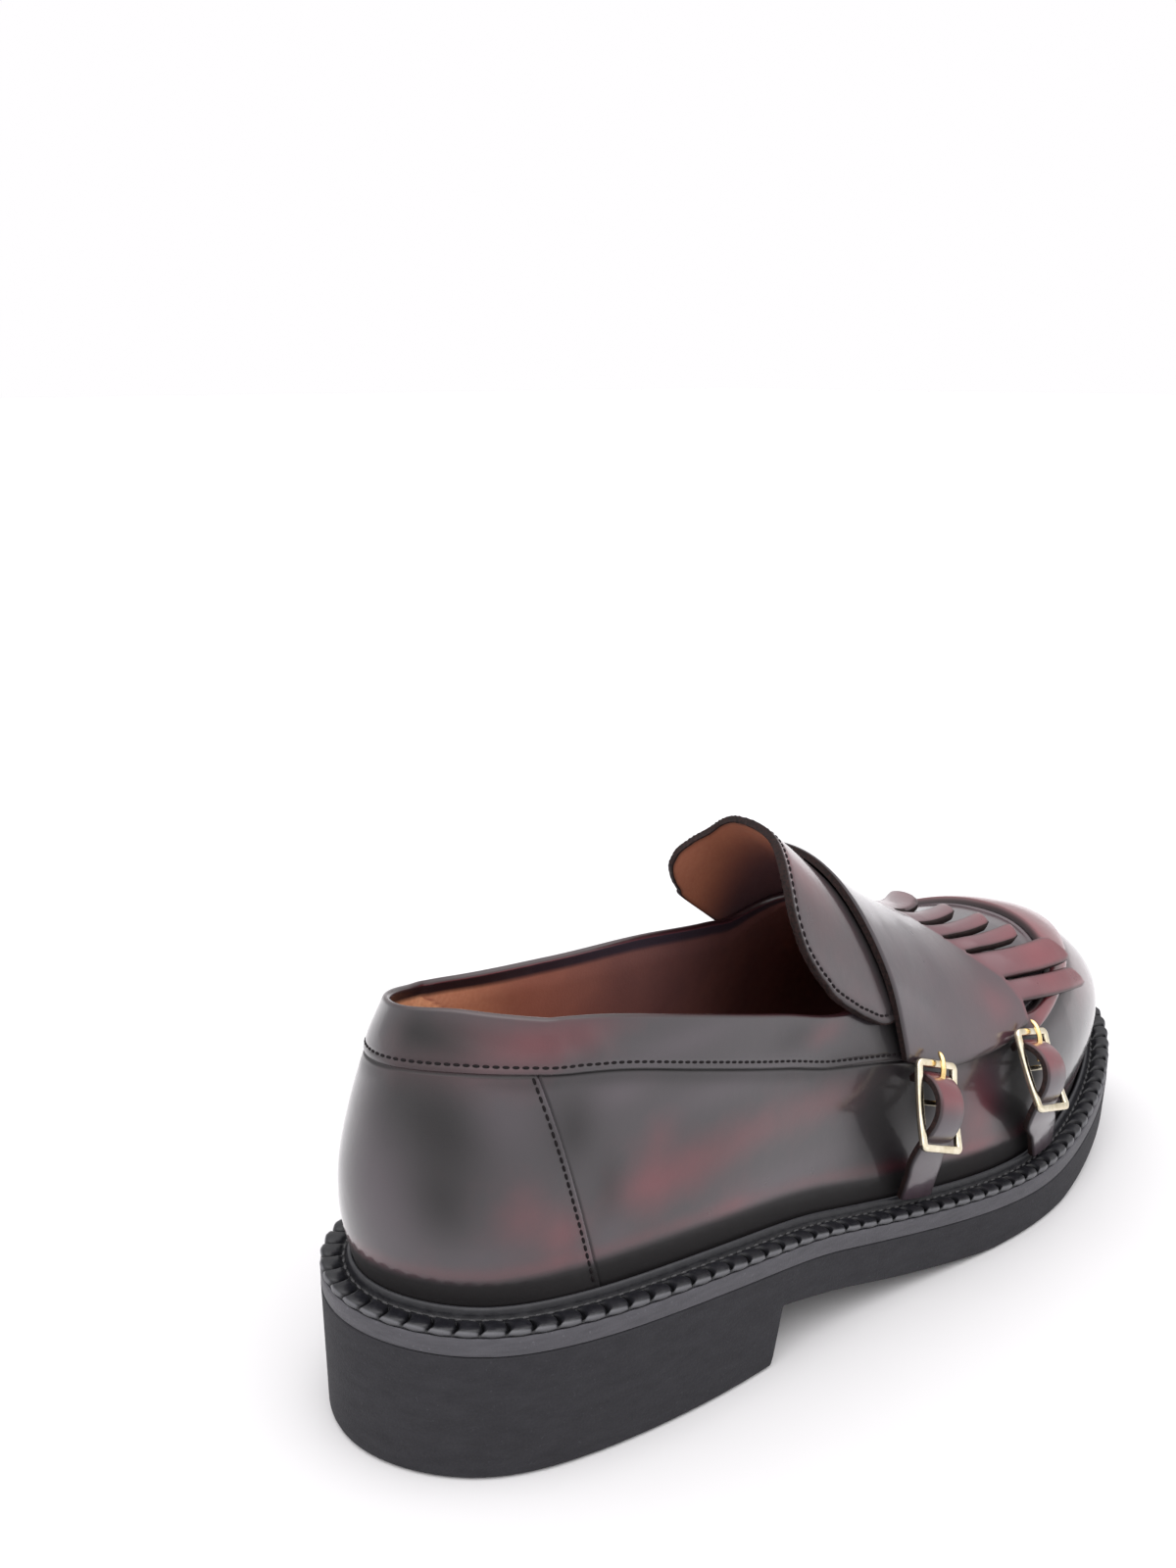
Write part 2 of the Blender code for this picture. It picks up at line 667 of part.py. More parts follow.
SADDLE_ROWS = (0.0, 0.1, 0.28, 0.46, 0.64, 0.82, 1.0)
STRIP_ROWS = (0.3, 0.6, 0.86, 1.0)
CLIP = 0.74               # how wide a strip's clipped end still is


def saddle_height(station, girth):
    """How far the saddle's underside is from the last: it climbs over the tongue."""
    side = tongue_side(station, girth > 0)
    share = (1 - step(side + 0.03, np.minimum(side + 0.26, 0.75), np.abs(girth))) * (
        1 - step(TONGUE_FRONT + 1, TONGUE_FRONT + 12, station))
    return SADDLE_UNDER + (SADDLE_OVER - SADDLE_UNDER) * share


def strip_edge(root, tip, centre, rise):
    """Lower and upper points down one edge of a strip."""
    part = np.array(STRIP_ROWS)
    station = root[1] + (tip[0] - root[1]) * part
    girth = root[0] + (tip[1] - root[0]) * part ** 1.3
    station[-1] = centre[0] + (station[-1] - centre[0]) * CLIP
    girth[-1] = centre[1] + (girth[-1] - centre[1]) * CLIP
    height = (SADDLE_UNDER + (FRINGE_UNDER - SADDLE_UNDER) * step(0, 0.3, part)
              + rise * part ** 2)
    return over(station, girth, height), over(station, girth, height + LEATHER)


def saddle():
    """Band over the instep with the fringe's strips fused to its front edge."""
    inner_side = [(g, y) for g, y in SADDLE_INNER]
    slits = [(row[0], row[1]) for row in FRINGE]
    half = 0.5 * STRIP_GAP / 82.0
    columns_at = list(inner_side)
    strips = []
    for k in range(len(slits) - 1):
        (g0, y0), (g1, y1) = slits[k], slits[k + 1]
        strips.append(len(columns_at))
        columns_at += [(g0 + half, y0), (g1 - half, y1)]
    side_end = SADDLE_SIDE[-1]
    columns_at.append((side_end[1], side_end[0]))
    girths = np.array([c[0] for c in columns_at])
    fronts = np.array([c[1] for c in columns_at])
    rows = np.array(SADDLE_ROWS)[:, None]
    girth = np.broadcast_to(girths, (len(rows), len(girths))).copy()
    for _ in range(3):
        rear = smooth(SADDLE_REAR, 1, girth)
        station = rear + (fronts - rear) * rows
        wide = smooth(SADDLE_SIDE, 1, station) / side_end[1]
        girth = girths * np.where(girths > 0, wide, 1)
    height = saddle_height(station, girth)
    low = over(station, girth, height)
    high = over(station, girth, height + LEATHER)
    count = len(girths)
    more_low = np.zeros((len(STRIP_ROWS), count, 3))
    more_high = np.zeros((len(STRIP_ROWS), count, 3))
    for first, row in zip(strips, FRINGE):
        tips = (row[2:4], row[4:6])
        centre = [(row[2] + row[4]) / 2, (row[3] + row[5]) / 2]
        for k, tip in enumerate(tips):
            root = (girth[-1, first + k], station[-1, first + k])
            down, up = strip_edge(root, tip, centre, row[6])
            more_low[:, first + k] = down
            more_high[:, first + k] = up
    solid = np.ones((len(rows) + len(STRIP_ROWS) - 1, count - 1), bool)
    solid[len(rows) - 1:] = False
    for first in strips:
        solid[len(rows) - 1:, first] = True
    skin = Skin()
    skin.sheet(np.concatenate([high, more_high]), np.concatenate([low, more_low]), solid)
    return make("saddle", skin, (0.085, 0.012, 0.016), 0.24)


# ---- buckles and straps -----------------------------------------------------------
BUCKLES = (  # name, middle of the upper edge, of the lower edge, direction of the bars,
    # width, girth of the strap's top, station of its foot
    ("rear", (40.6, 153.1, 62.9), (50.6, 144.3, 43.6), (0.13, 0.92, -0.36), 15.5, 0.728,
     149.8),
    ("front", (41.2, 194.5, 59.6), (54.0, 189.6, 41.1), (0.0, 0.965, -0.26), 15.5, 0.650,
     203.6))

BAR = 2.0                 # width of a buckle's bars
BAR_DEEP = 1.6            # and their thickness
FRAME_BOW = 0.6           # the frame's sides dip this far
CENTRE_BAR = 1.5          # width of the hidden centre bar
CENTRE_BAR_AT = 0.44      # share of the way down the frame where it lies
STRAP = 9.2               # width of a strap in its buckle
STRAP_FOOT = 12.0         # and at the welt
FOOT_GIRTH = 0.988        # girth of a strap's foot, just over the welt's bead
HOLE = 2.4                # slot in the strap for the prong
PRONG = 0.75              # radius of a prong

STRAP_PATH = (  # share of the way down the frame, height over the frame's plane
    (0.17, -1.8), (0.23, 0.6), (0.33, 2.6), (0.46, 3.6), (0.60, 3.2), (0.73, 1.4),
    (0.83, -1.2), (0.92, -3.4))

PRONG_PATH = (  # share of the way down the frame, height over the frame's plane
    (0.40, 0.0), (0.27, 0.9), (0.17, 1.9), (0.07, 2.2), (-0.02, 1.9), (-0.09, 1.0))


def frame_axes(row):
    """Corner point and directions along, down and out of a buckle."""
    upper_bar, lower_bar, along = (np.array(v, float) for v in row[1:4])
    down = lower_bar - upper_bar
    height = np.linalg.norm(down)
    down /= height
    along = along - along @ down * down
    along /= np.linalg.norm(along)
    return upper_bar, along, down, np.cross(down, along), height


def buckle(row):
    """Rectangular frame with a hidden centre bar, its sides dipping in the middle."""
    middle, along, down, out, height = frame_axes(row)
    half = row[4] / 2
    across = np.array([-half, -half + BAR, half - BAR, half])
    centre = CENTRE_BAR_AT * height
    downs = np.array([0, BAR, centre / 2, centre, centre + CENTRE_BAR,
                      (centre + height) / 2, height - BAR, height])
    solid = np.ones((len(downs) - 1, 3), bool)
    solid[1:3, 1] = False
    solid[4:6, 1] = False
    share = np.clip(downs / height, 0, 1)
    dip = -FRAME_BOW * np.sin(math.pi * share)
    flat = (middle + across[None, :, None] * along + downs[:, None, None] * down
            + dip[:, None, None] * out)
    skin = Skin()
    skin.sheet(flat + out * BAR_DEEP / 2, flat - out * BAR_DEEP / 2, solid)
    return make("buckle_" + row[0], skin, (0.62, 0.52, 0.38), 0.2, 1.0)


def strap(row):
    """Strap from the saddle's edge, arching through the buckle, down to the welt."""
    middle, along, down, out, height = frame_axes(row)
    rise = SADDLE_UNDER + LEATHER / 2
    path = [over(middle[1] - 0.6, np.array([row[5]]), np.array([rise]))[0]]
    path += [middle + down * b * height + out * n for b, n in STRAP_PATH]
    foot = row[6]
    path.append(over(foot, np.array([FOOT_GIRTH]), np.array([rise + 0.2]))[0])
    path.insert(-1, (path[-2] + path[-1]) / 2)
    path = np.array(path)
    tangent = np.gradient(path, axis=0)
    tangent /= np.linalg.norm(tangent, axis=1)[:, None]
    ground = over(foot + 1, np.array([FOOT_GIRTH]), np.array([rise]))[0] - over(
        foot - 1, np.array([FOOT_GIRTH]), np.array([rise]))[0]
    ground /= np.linalg.norm(ground)
    share = np.clip((np.arange(len(path)) - 8) / 2, 0, 1)[:, None]
    wide = along + (ground - along) * share
    wide -= (1 - share) * np.sum(wide * tangent, axis=1)[:, None] * tangent
    wide /= np.linalg.norm(wide, axis=1)[:, None]
    normal = np.cross(tangent, wide)
    normal /= np.linalg.norm(normal, axis=1)[:, None]
    half = (STRAP + (STRAP_FOOT - STRAP) * share) / 2
    across = np.concatenate([-half, -half * HOLE / STRAP, half * HOLE / STRAP, half], 1)
    flat = path[:, None] + across[:, :, None] * wide[:, None]
    solid = np.ones((len(path) - 1, 3), bool)
    solid[1:3, 1] = False
    skin = Skin()
    skin.sheet(flat + normal[:, None] * LEATHER / 2, flat - normal[:, None] * LEATHER / 2,
               solid)
    return make("strap_" + row[0], skin, (0.085, 0.012, 0.016), 0.24)


def prong(row):
    """Bent pin from the centre bar over the top bar."""
    middle, along, down, out, height = frame_axes(row)
    path = np.array([middle + down * b * height + out * n for b, n in PRONG_PATH])
    tangent = np.gradient(path, axis=0)
    tangent /= np.linalg.norm(tangent, axis=1)[:, None]
    normal = np.cross(tangent, along)
    turn = np.arange(8) * math.pi / 4
    skin = Skin()
    thin = np.linspace(1, 0.7, len(path))
    skin.tube([point + PRONG * size * (np.cos(turn)[:, None] * along
                                       + np.sin(turn)[:, None] * lean)
               for point, lean, size in zip(path, normal, thin)])
    return make("prong_" + row[0], skin, (0.75, 0.52, 0.22), 0.2, 1.0)


def main():
    for thing in list(bpy.data.objects):
        bpy.data.objects.remove(thing, do_unlink=True)
    outsole()
    midsole()
    welt()
    insole()
    upper()
    tongue()
    saddle()
    for row in BUCKLES:
        buckle(row)
        strap(row)
        prong(row)


if __name__ == "__main__":
    main()
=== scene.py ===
"""Looks of the fringed moccasin, a right shoe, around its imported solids.

Shoe space: x runs across (+ is the outer side of the foot), y along the sole from
the back of the heel, z up from the floor, all in millimetres.
"""

import math

import bmesh
import bpy
import numpy as np
from mathutils import Matrix


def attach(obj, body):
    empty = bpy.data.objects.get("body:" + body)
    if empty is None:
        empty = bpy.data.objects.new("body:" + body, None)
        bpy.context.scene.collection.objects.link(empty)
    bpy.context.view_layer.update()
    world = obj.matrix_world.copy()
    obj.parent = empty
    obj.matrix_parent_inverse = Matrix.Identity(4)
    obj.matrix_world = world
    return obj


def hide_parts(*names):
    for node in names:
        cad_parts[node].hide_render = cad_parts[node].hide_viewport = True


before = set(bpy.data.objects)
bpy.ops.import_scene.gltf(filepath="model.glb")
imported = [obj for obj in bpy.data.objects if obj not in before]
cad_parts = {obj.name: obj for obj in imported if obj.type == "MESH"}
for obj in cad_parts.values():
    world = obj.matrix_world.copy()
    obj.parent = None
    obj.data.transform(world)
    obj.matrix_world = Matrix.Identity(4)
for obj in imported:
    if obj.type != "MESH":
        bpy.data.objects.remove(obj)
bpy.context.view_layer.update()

MM = 0.001

# ---- sizes of the shoe, as in the solids (mm)
LENGTH = 283.0  # outsole, back of heel to toe tip
MIDDLE = 3.7  # middle of the whole width, buckles included
WELT_MARGIN = 8.4  # upper to the outer edge of the welt
MIDSOLE = 4.7  # height of the smooth band under the welt
WALL = 2.0  # quarter leather and its lining together
LEATHER = 2.1  # tongue, saddle and straps
GAP = 0.3  # air between neighbouring pieces
BAND = 12.5  # width of the topline band
BAND_STEP = 1.1  # the topline band stands this far proud
COUNTER_STEP = 0.6  # the counter stands this far proud
RIB_PITCH = 5.85  # gimped welt
HEEL_POLE = 38.0  # heel sections turn round this station
TOE_POLE = 222.0  # toe sections turn round this one
FOOT_LIFT = 1.5  # the upper stands this far above the welt's edge

OUTLINE = (  # across, along
    (-1.8, 0), (23.6, 12.1), (36, 35.5), (42, 80), (42.3, 124), (47.9, 181.4),
    (45, 218.2), (28.4, 261.5), (2, 283), (-29, 267), (-44.5, 231.5),
    (-46.8, 195), (-37, 150), (-29.5, 110), (-35.5, 49), (-27, 11.3))

SOLE_TOP = (  # station, height of the welt's edge
    (0, 37.2), (40, 35), (80, 32.6), (110, 28.5), (130, 24.2), (155, 20), (180, 17.3),
    (205, 16.6), (240, 21.2), (283, 31.6))

SOLE_BOTTOM = (  # station, height of the tread in front of the heel
    (97, 15), (115, 11), (135, 6.2), (155, 2.6), (176, 0), (212, 0), (240, 4.3),
    (283, 14.8))

RIDGE = (  # station, height, across, roundness of the side, roundness of the top, swell
    (38, 152, -2, 2, 2, 2),
    (70, 150, -2.5, 2.1, 2.1, 0.5),
    (100, 139, -3, 2.3, 2.3, 0.5),
    (118, 124.8, -3, 2.4, 2.4, 1),
    (134, 111.6, -3, 2.4, 2.4, 1.4),
    (150, 98.4, -3, 2.4, 2.3, 2),
    (165, 88.7, -2.8, 2.4, 2.3, 2.2),
    (182, 82.2, -2.4, 2.5, 2.3, 2.6),
    (210, 76.3, -1.5, 2.8, 2.5, 4.5),
    (222, 74.8, -1, 2.9, 2.6, 5),
    (240, 72.4, 0, 2.9, 2.6, 5.5),
    (258, 69, 0, 2.9, 2.6, 5.5),
    (280, 62, 1, 2.9, 2.6, 5.5))

TOPLINE = (  # station, height on the outer side, height on the inner side
    (10, 103, 101.6), (25, 103.9, 98.5), (36, 102.8, 95.1), (47, 101.2, 93.5),
    (75, 94.2, 92.1), (104, 86, 91.5), (128, 79.5, 88.8), (138, 79.5, 88),
    (148, 88, 92), (158, 99, 99))

HEEL_CURVE = (  # height over the feather line, how far the heel's back leans in
    (0, 0), (12, -2.3), (22, -2.4), (38, 0.5), (52, 4.2), (68, 8.5), (90, 14))


def smooth(table, column, at):
    """Cubic through one column of a table whose first column is the station."""
    rows = np.array(table, float)
    xs, ys = rows[:, 0], rows[:, column]
    slopes = np.gradient(ys, xs)
    at = np.clip(np.asarray(at, float), xs[0], xs[-1])
    i = np.clip(np.searchsorted(xs, at) - 1, 0, len(xs) - 2)
    h = xs[i + 1] - xs[i]
    u = (at - xs[i]) / h
    return ((1 + 2 * u) * (1 - u) ** 2 * ys[i] + u * (1 - u) ** 2 * h * slopes[i]
            + u * u * (3 - 2 * u) * ys[i + 1] + u * u * (u - 1) * h * slopes[i + 1])


def step(low, high, value):
    """Soft step from 0 at low to 1 at high."""
    u = np.clip((np.asarray(value, float) - low) / (high - low), 0, 1)
    return u * u * (3 - 2 * u)


def unit(vectors):
    """Vectors brought to length 1."""
    return vectors / np.linalg.norm(vectors, axis=-1)[..., None]


def reach_along(points):
    """How far along the line through them the points lie."""
    return np.concatenate(([0], np.cumsum(np.linalg.norm(np.diff(points, axis=0), axis=1))))


def read(at, knots, rows):
    """Rows given at knots, read linearly between them."""
    return np.stack([np.interp(at, knots, column) for column in rows.T], -1)


CURVE_STEPS = 4000  # the curve is measured at this many places


def closed_curve(points, count):
    """Closed cubic through the points, read at count places equally far apart."""
    points = np.array(points, float)
    n = len(points)
    chord = np.sqrt(np.linalg.norm(np.roll(points, -1, 0) - points, axis=1))
    before = np.roll(chord, 1)
    system = (np.diag(2 * (before + chord)) + before[:, None] * np.roll(np.eye(n), -1, 1)
              + chord[:, None] * np.roll(np.eye(n), 1, 1))
    slope = (np.roll(points, -1, 0) - points) / chord[:, None]
    bend = np.linalg.solve(system, 6 * (slope - np.roll(slope, 1, 0)))
    knot = np.concatenate(([0], np.cumsum(chord)))
    at = np.linspace(0, knot[-1], CURVE_STEPS, endpoint=False)
    i = np.searchsorted(knot, at, side="right") - 1
    j = (i + 1) % n
    h = chord[i][:, None]
    a = (knot[i + 1] - at)[:, None] / h
    b = 1 - a
    dense = (a * points[i] + b * points[j]
             + ((a ** 3 - a) * bend[i] + (b ** 3 - b) * bend[j]) * h * h / 6)
    dense = np.vstack([dense, dense[:1]])
    reach = reach_along(dense)
    return read(np.linspace(0, reach[-1], count, endpoint=False), reach, dense)


EDGE = closed_curve(OUTLINE, 1440)


def inset_edge(inset):
    """The welt's outline moved inwards."""
    along = unit(np.roll(EDGE, -2, 0) - np.roll(EDGE, 2, 0))
    return EDGE + inset * np.stack([-along[:, 1], along[:, 0]], 1)


FEATHER = inset_edge(WELT_MARGIN)


def top(station):
    return smooth(SOLE_TOP, 1, station)


def ridge(station):
    """Point of the last's top line above a station, and the roundness of its sections."""
    return [smooth(RIDGE, k, station) for k in (2, 1, 3, 4, 5)]


def last_point(s, lift, offset=0.0):
    """Point of the last: s in 0..1 round the feather line from the heel's back over the
    outer side, lift in 0..1 from the feather line to the ridge, offset outwards."""
    s, lift = np.broadcast_arrays(np.asarray(s, float), np.asarray(lift, float))
    point = base_point(s, lift)
    if np.all(np.asarray(offset) == 0):
        return point
    ds, dl = 0.0015, 0.004
    lean = np.clip(lift, 0, 0.985)
    round_it = base_point(s + ds, lean) - base_point(s - ds, lean)
    upwards = (base_point(s, np.clip(lift + dl, 0.01, 0.995))
               - base_point(s, np.clip(lift - dl, 0, 0.985)))
    return point + unit(np.cross(round_it, upwards)) * np.asarray(offset)[..., None]


def base_point(s, lift):
    """Point of the last before any offset."""
    foot_x, foot_y = np.moveaxis(ring_at(FEATHER, s), -1, 0)
    pole_y = np.clip(foot_y, HEEL_POLE, TOE_POLE)
    pole_x, _, side, crown, swell = ridge(pole_y)
    angle = np.clip(lift, 0, 1) * math.pi / 2
    out = np.where(lift >= 1, 0, np.cos(angle) ** (2 / side))
    up = np.sin(angle) ** (2 / crown)
    reach = np.hypot(foot_x - pole_x, foot_y - pole_y)
    out = out + swell / reach * np.sin(math.pi * np.clip(up, 0, 1)) ** 1.3
    low = top(foot_y) + FOOT_LIFT
    back = np.clip((pole_y - foot_y) / reach, 0, 1) * (foot_y < HEEL_POLE)
    rise = (smooth(RIDGE, 1, pole_y) - low) * up
    out = out - smooth(HEEL_CURVE, 1, rise) / reach * back ** 0.8
    y = pole_y + (foot_y - pole_y) * out
    return np.stack([pole_x + (foot_x - pole_x) * out, y,
                     low + (smooth(RIDGE, 1, y) - low) * up], -1)


def place_at(curve, station, side):
    """Place 0..1 of a closed curve at a station on the outer (+1) or inner side."""
    count = len(curve)
    tip = int(np.argmax(curve[:, 1]))
    heel = int(np.argmin(curve[:, 1]))
    heel = heel - count if heel > count / 2 else heel
    index = np.arange(heel, tip + 1) if side > 0 else np.arange(tip, heel + count + 1)
    ys = curve[index % count, 1]
    order = np.argsort(ys)
    return np.interp(station, ys[order], index[order]) / count


def ring_at(curve, places):
    """Points at places 0..1 round a closed curve."""
    where = np.asarray(places, float) % 1.0 * len(curve)
    return read(where, np.arange(len(curve) + 1), np.vstack([curve, curve[:1]]))


def tread(station):
    """Underside: flat heel, breast, arch, flat forefoot and toe spring."""
    rise = np.clip((station - 93.0) / 3.5, 0, 1)
    return rise * np.maximum(smooth(SOLE_BOTTOM, 1, station), 0)


GROOVE_PLAN = (3, 196, 32, 37, 2.2)  # middle across, start, half width, reach, power
LIP_PLAN = (2, 196, 36, 57, 1.7)
APRON_FROM = 196.0  # the band widens into the apron between these stations
APRON_TO = 206.0
LINE_FROM = 122.0  # the band's edge leaves the topline here
LINE_TO = 203.0  # and has become the apron's lip here
LIP_STEP = 1.8  # the apron's lip stands this far proud
PLUG_DROP = 0.4  # the apron's plug lies this far under the lip's foot
SEAM = 47.5  # foot of the counter seam
SEAM_LEAN = 0.071  # how far it leans towards the heel, in places round the shoe


def from_heel(s):
    """How far round from the heel's back places are, and the side they are on."""
    near = (s + 0.5) % 1.0 - 0.5
    return abs(near), np.copysign(1.0, near)


def seam_lean(s):
    """The sections beside the counter seam lean with it."""
    away, side = from_heel(s)
    seam = from_heel(place_at(FEATHER, SEAM, side))[0]
    return -side * SEAM_LEAN * (step(0, seam, away) - step(seam, 2 * seam, away))


SECTION_STEPS = 240  # places at which a section is measured


class Section:
    """One section of the last, from the feather line up to the topline or the ridge."""

    def __init__(self, s, closed):
        self.lifts = np.linspace(0, 1, SECTION_STEPS)
        self.places = s + seam_lean(s) * self.lifts
        self.points = base_point(self.places, self.lifts)
        self.reach = reach_along(self.points)
        self.end = self.reach[-1]
        if not closed:
            x, y, z = self.points.T
            outer, inner = (smooth(TOPLINE, k, y) for k in (1, 2))
            self.end = self.crossing(z - (inner + (outer - inner) * step(-16, 16, x + 3)))

    def crossing(self, values):
        """Reach at which the values first turn positive."""
        k = int(np.argmax(values > 0))
        part = values[k - 1] / (values[k - 1] - values[k])
        return self.reach[k - 1] + part * (self.reach[k] - self.reach[k - 1])

    def at(self, reach):
        """Place and lift at a reach."""
        return [np.interp(reach, self.reach, v) for v in (self.places, self.lifts)]

    def apron(self, plan):
        """Reach at which the section enters a U-shaped line of the apron."""
        middle, start, half, long, power = plan
        forward = np.clip((self.points[:, 1] - start) / long, 0, None)
        across = np.abs((self.points[:, 0] - middle) / half)
        return self.crossing(-(across ** power + forward ** power - 1))


def over(station, girth, offset):
    """Point over the foot: girth runs from -1 at the inner feather line over the ridge
    at 0 to +1 at the outer feather line."""
    outer, inner = (last_point(place_at(FEATHER, station, side), 1 - np.abs(girth), offset)
                    for side in (1, -1))
    return inner + (outer - inner) * np.clip(0.5 + np.asarray(girth) / 0.02, 0, 1)[..., None]


TONGUE_OUT = 0.640  # girth of the tongue's edge on the outer side
TONGUE_IN = 0.529  # and on the inner side
TONGUE_FRONT = 166.0
TONGUE_TAPER = 0.34  # share of its width it loses under the saddle
TONGUE_TAPER_FROM = 136.0
TONGUE_UNDER = BAND_STEP + GAP
TONGUE_TOP = (  # share of the half girth, rear edge on the outer side, on the inner side
    (0, 121.5, 121.5), (0.25, 119.2, 121.6), (0.44, 115.4, 120.6), (0.62, 112.2, 116.8),
    (0.77, 111.3, 113.4), (0.875, 113.6, 113.4), (0.943, 118.4, 117.2),
    (0.985, 124.2, 123.5), (1, 130.5, 135))


def tongue_side(station, outer_side):
    """Girth of the tongue's edge: it narrows where the saddle covers it."""
    full = np.where(outer_side, TONGUE_OUT, TONGUE_IN)
    return full * (1 - TONGUE_TAPER * step(TONGUE_TAPER_FROM, TONGUE_FRONT, station))


SADDLE_UNDER = BAND_STEP + 0.5  # the saddle on the last
SADDLE_OVER = TONGUE_UNDER + LEATHER + 2.0 * GAP  # and on the tongue
FRINGE_UNDER = LIP_STEP + 0.6
STRIP_GAP = 0.8  # between two strips at the slit

SADDLE_REAR = (  # girth, station of the rear edge
    (-1, 146), (-0.8, 145), (-0.5, 141.5), (-0.25, 138.5), (0, 136.5),
    (0.2, 137), (0.35, 138.6), (0.5, 141), (0.62, 142.9), (0.7, 144.7))

SADDLE_SIDE = (  # station, girth of the lower edge on the outer side
    (135, 0.7), (143.5, 0.7), (159.4, 0.695), (173.8, 0.661), (187.2, 0.626),
    (197.5, 0.583))

FRINGE = (  # slit: girth, station; tip beyond it: station and girth inside, outside; rise
    (-0.545, 191, 221, -0.562, 223, -0.49, 0.3),
    (-0.45, 188.5, 215, -0.48, 214, -0.415, 0.3),
    (-0.355, 185, 207, -0.402, 205, -0.345, 0.2),
    (-0.262, 182, 200, -0.332, 198, -0.28, 0.2),
    (-0.175, 179.5, 194, -0.266, 192.5, -0.21, 0),
    (-0.095, 178, 190.5, -0.196, 190, -0.135, 0),
    (-0.018, 177.5, 199, -0.118, 199, -0.005, 2),
    (0.062, 178, 204.5, 0.015, 202, 0.09, 1.2),
    (0.14, 180, 210.5, 0.102, 208, 0.186, 1.2),
    (0.205, 184, 216, 0.198, 213, 0.284, 1.2),
    (0.275, 188.5, 225, 0.318, 230.5, 0.458, 1.8),
    (0.415, 196.3, 228.5, 0.476, 232.5, 0.58, 0.4),
    (0.515, 198.4, 0, 0, 0, 0, 0))

SADDLE_INNER = (  # girth on the inner side, station of the front edge
    (-0.985, 186), (-0.93, 186.3), (-0.84, 187.2), (-0.74, 188), (-0.64, 189))

CLIP = 0.74  # how wide a strip's clipped end still is


BUCKLES = (  # name, middle of the upper edge, of the lower edge, direction of the bars,
    # width, girth of the strap's top, station of its foot
    ("rear", (40.6, 153.1, 62.9), (50.6, 144.3, 43.6), (0.13, 0.92, -0.36), 15.5, 0.728,
     149.8),
    ("front", (41.2, 194.5, 59.6), (54, 189.6, 41.1), (0, 0.965, -0.26), 15.5, 0.65,
     203.6))
BAR = 2.0  # width of a buckle's bars
BAR_DEEP = 1.6  # and their thickness
FRAME_BOW = 0.6  # the frame's sides dip this far
STRAP_ROWS = 90  # points along a strap
STRAP_COLUMNS = 19  # and across it
STRAP = 9.2  # width of a strap in its buckle
STRAP_FOOT = 12.0  # and at the welt
FOOT_GIRTH = 0.988  # girth of a strap's foot, just over the welt's bead
PRONG = 0.75  # radius of a prong
STRAP_PATH = (  # share of the way down the frame, height over the frame's plane
    (0.17, -1.8), (0.23, 0.6), (0.33, 2.6), (0.46, 3.6), (0.6, 3.2), (0.73, 1.4),
    (0.83, -1.2), (0.92, -3.4))
PRONG_PATH = (  # share of the way down the frame, height over the frame's plane
    (0.4, 0), (0.27, 0.9), (0.17, 1.9), (0.07, 2.2), (-0.02, 1.9), (-0.09, 1))


def frame_axes(row):
    """Middle of the upper bar, directions along, down and out of a buckle, and its height."""
    upper_bar, lower_bar, along = (np.array(v, float) for v in row[1:4])
    down = lower_bar - upper_bar
    height = np.linalg.norm(down)
    down /= height
    along = along - along @ down * down
    along /= np.linalg.norm(along)
    return upper_bar, along, down, np.cross(down, along), height


# ---- meshes
EDGE_ROUND = 0.45  # radius of the leather's cut edges
INK_REACH = 0.5  # the ink of a cut edge comes this far over the faces
MERGE = 0.000002  # points closer than this (m) are one


def hump(value, middle, width):
    """Soft ridge of height 1."""
    return np.exp(-((np.asarray(value, float) - middle) / width) ** 2)


def rounded(distance, radius):
    """How far a surface drops towards an edge that is rounded with this radius."""
    left = radius - np.clip(distance, 0, radius)
    return radius - np.sqrt(np.maximum(radius ** 2 - left ** 2, 0))


def tones(red, dark, sheen):
    """Tone of each point: three shares, the first two held in 0..1."""
    red, dark, sheen = np.broadcast_arrays(np.clip(red, 0, 1), np.clip(dark, 0, 1), sheen)
    return np.stack([red, dark, sheen], -1)


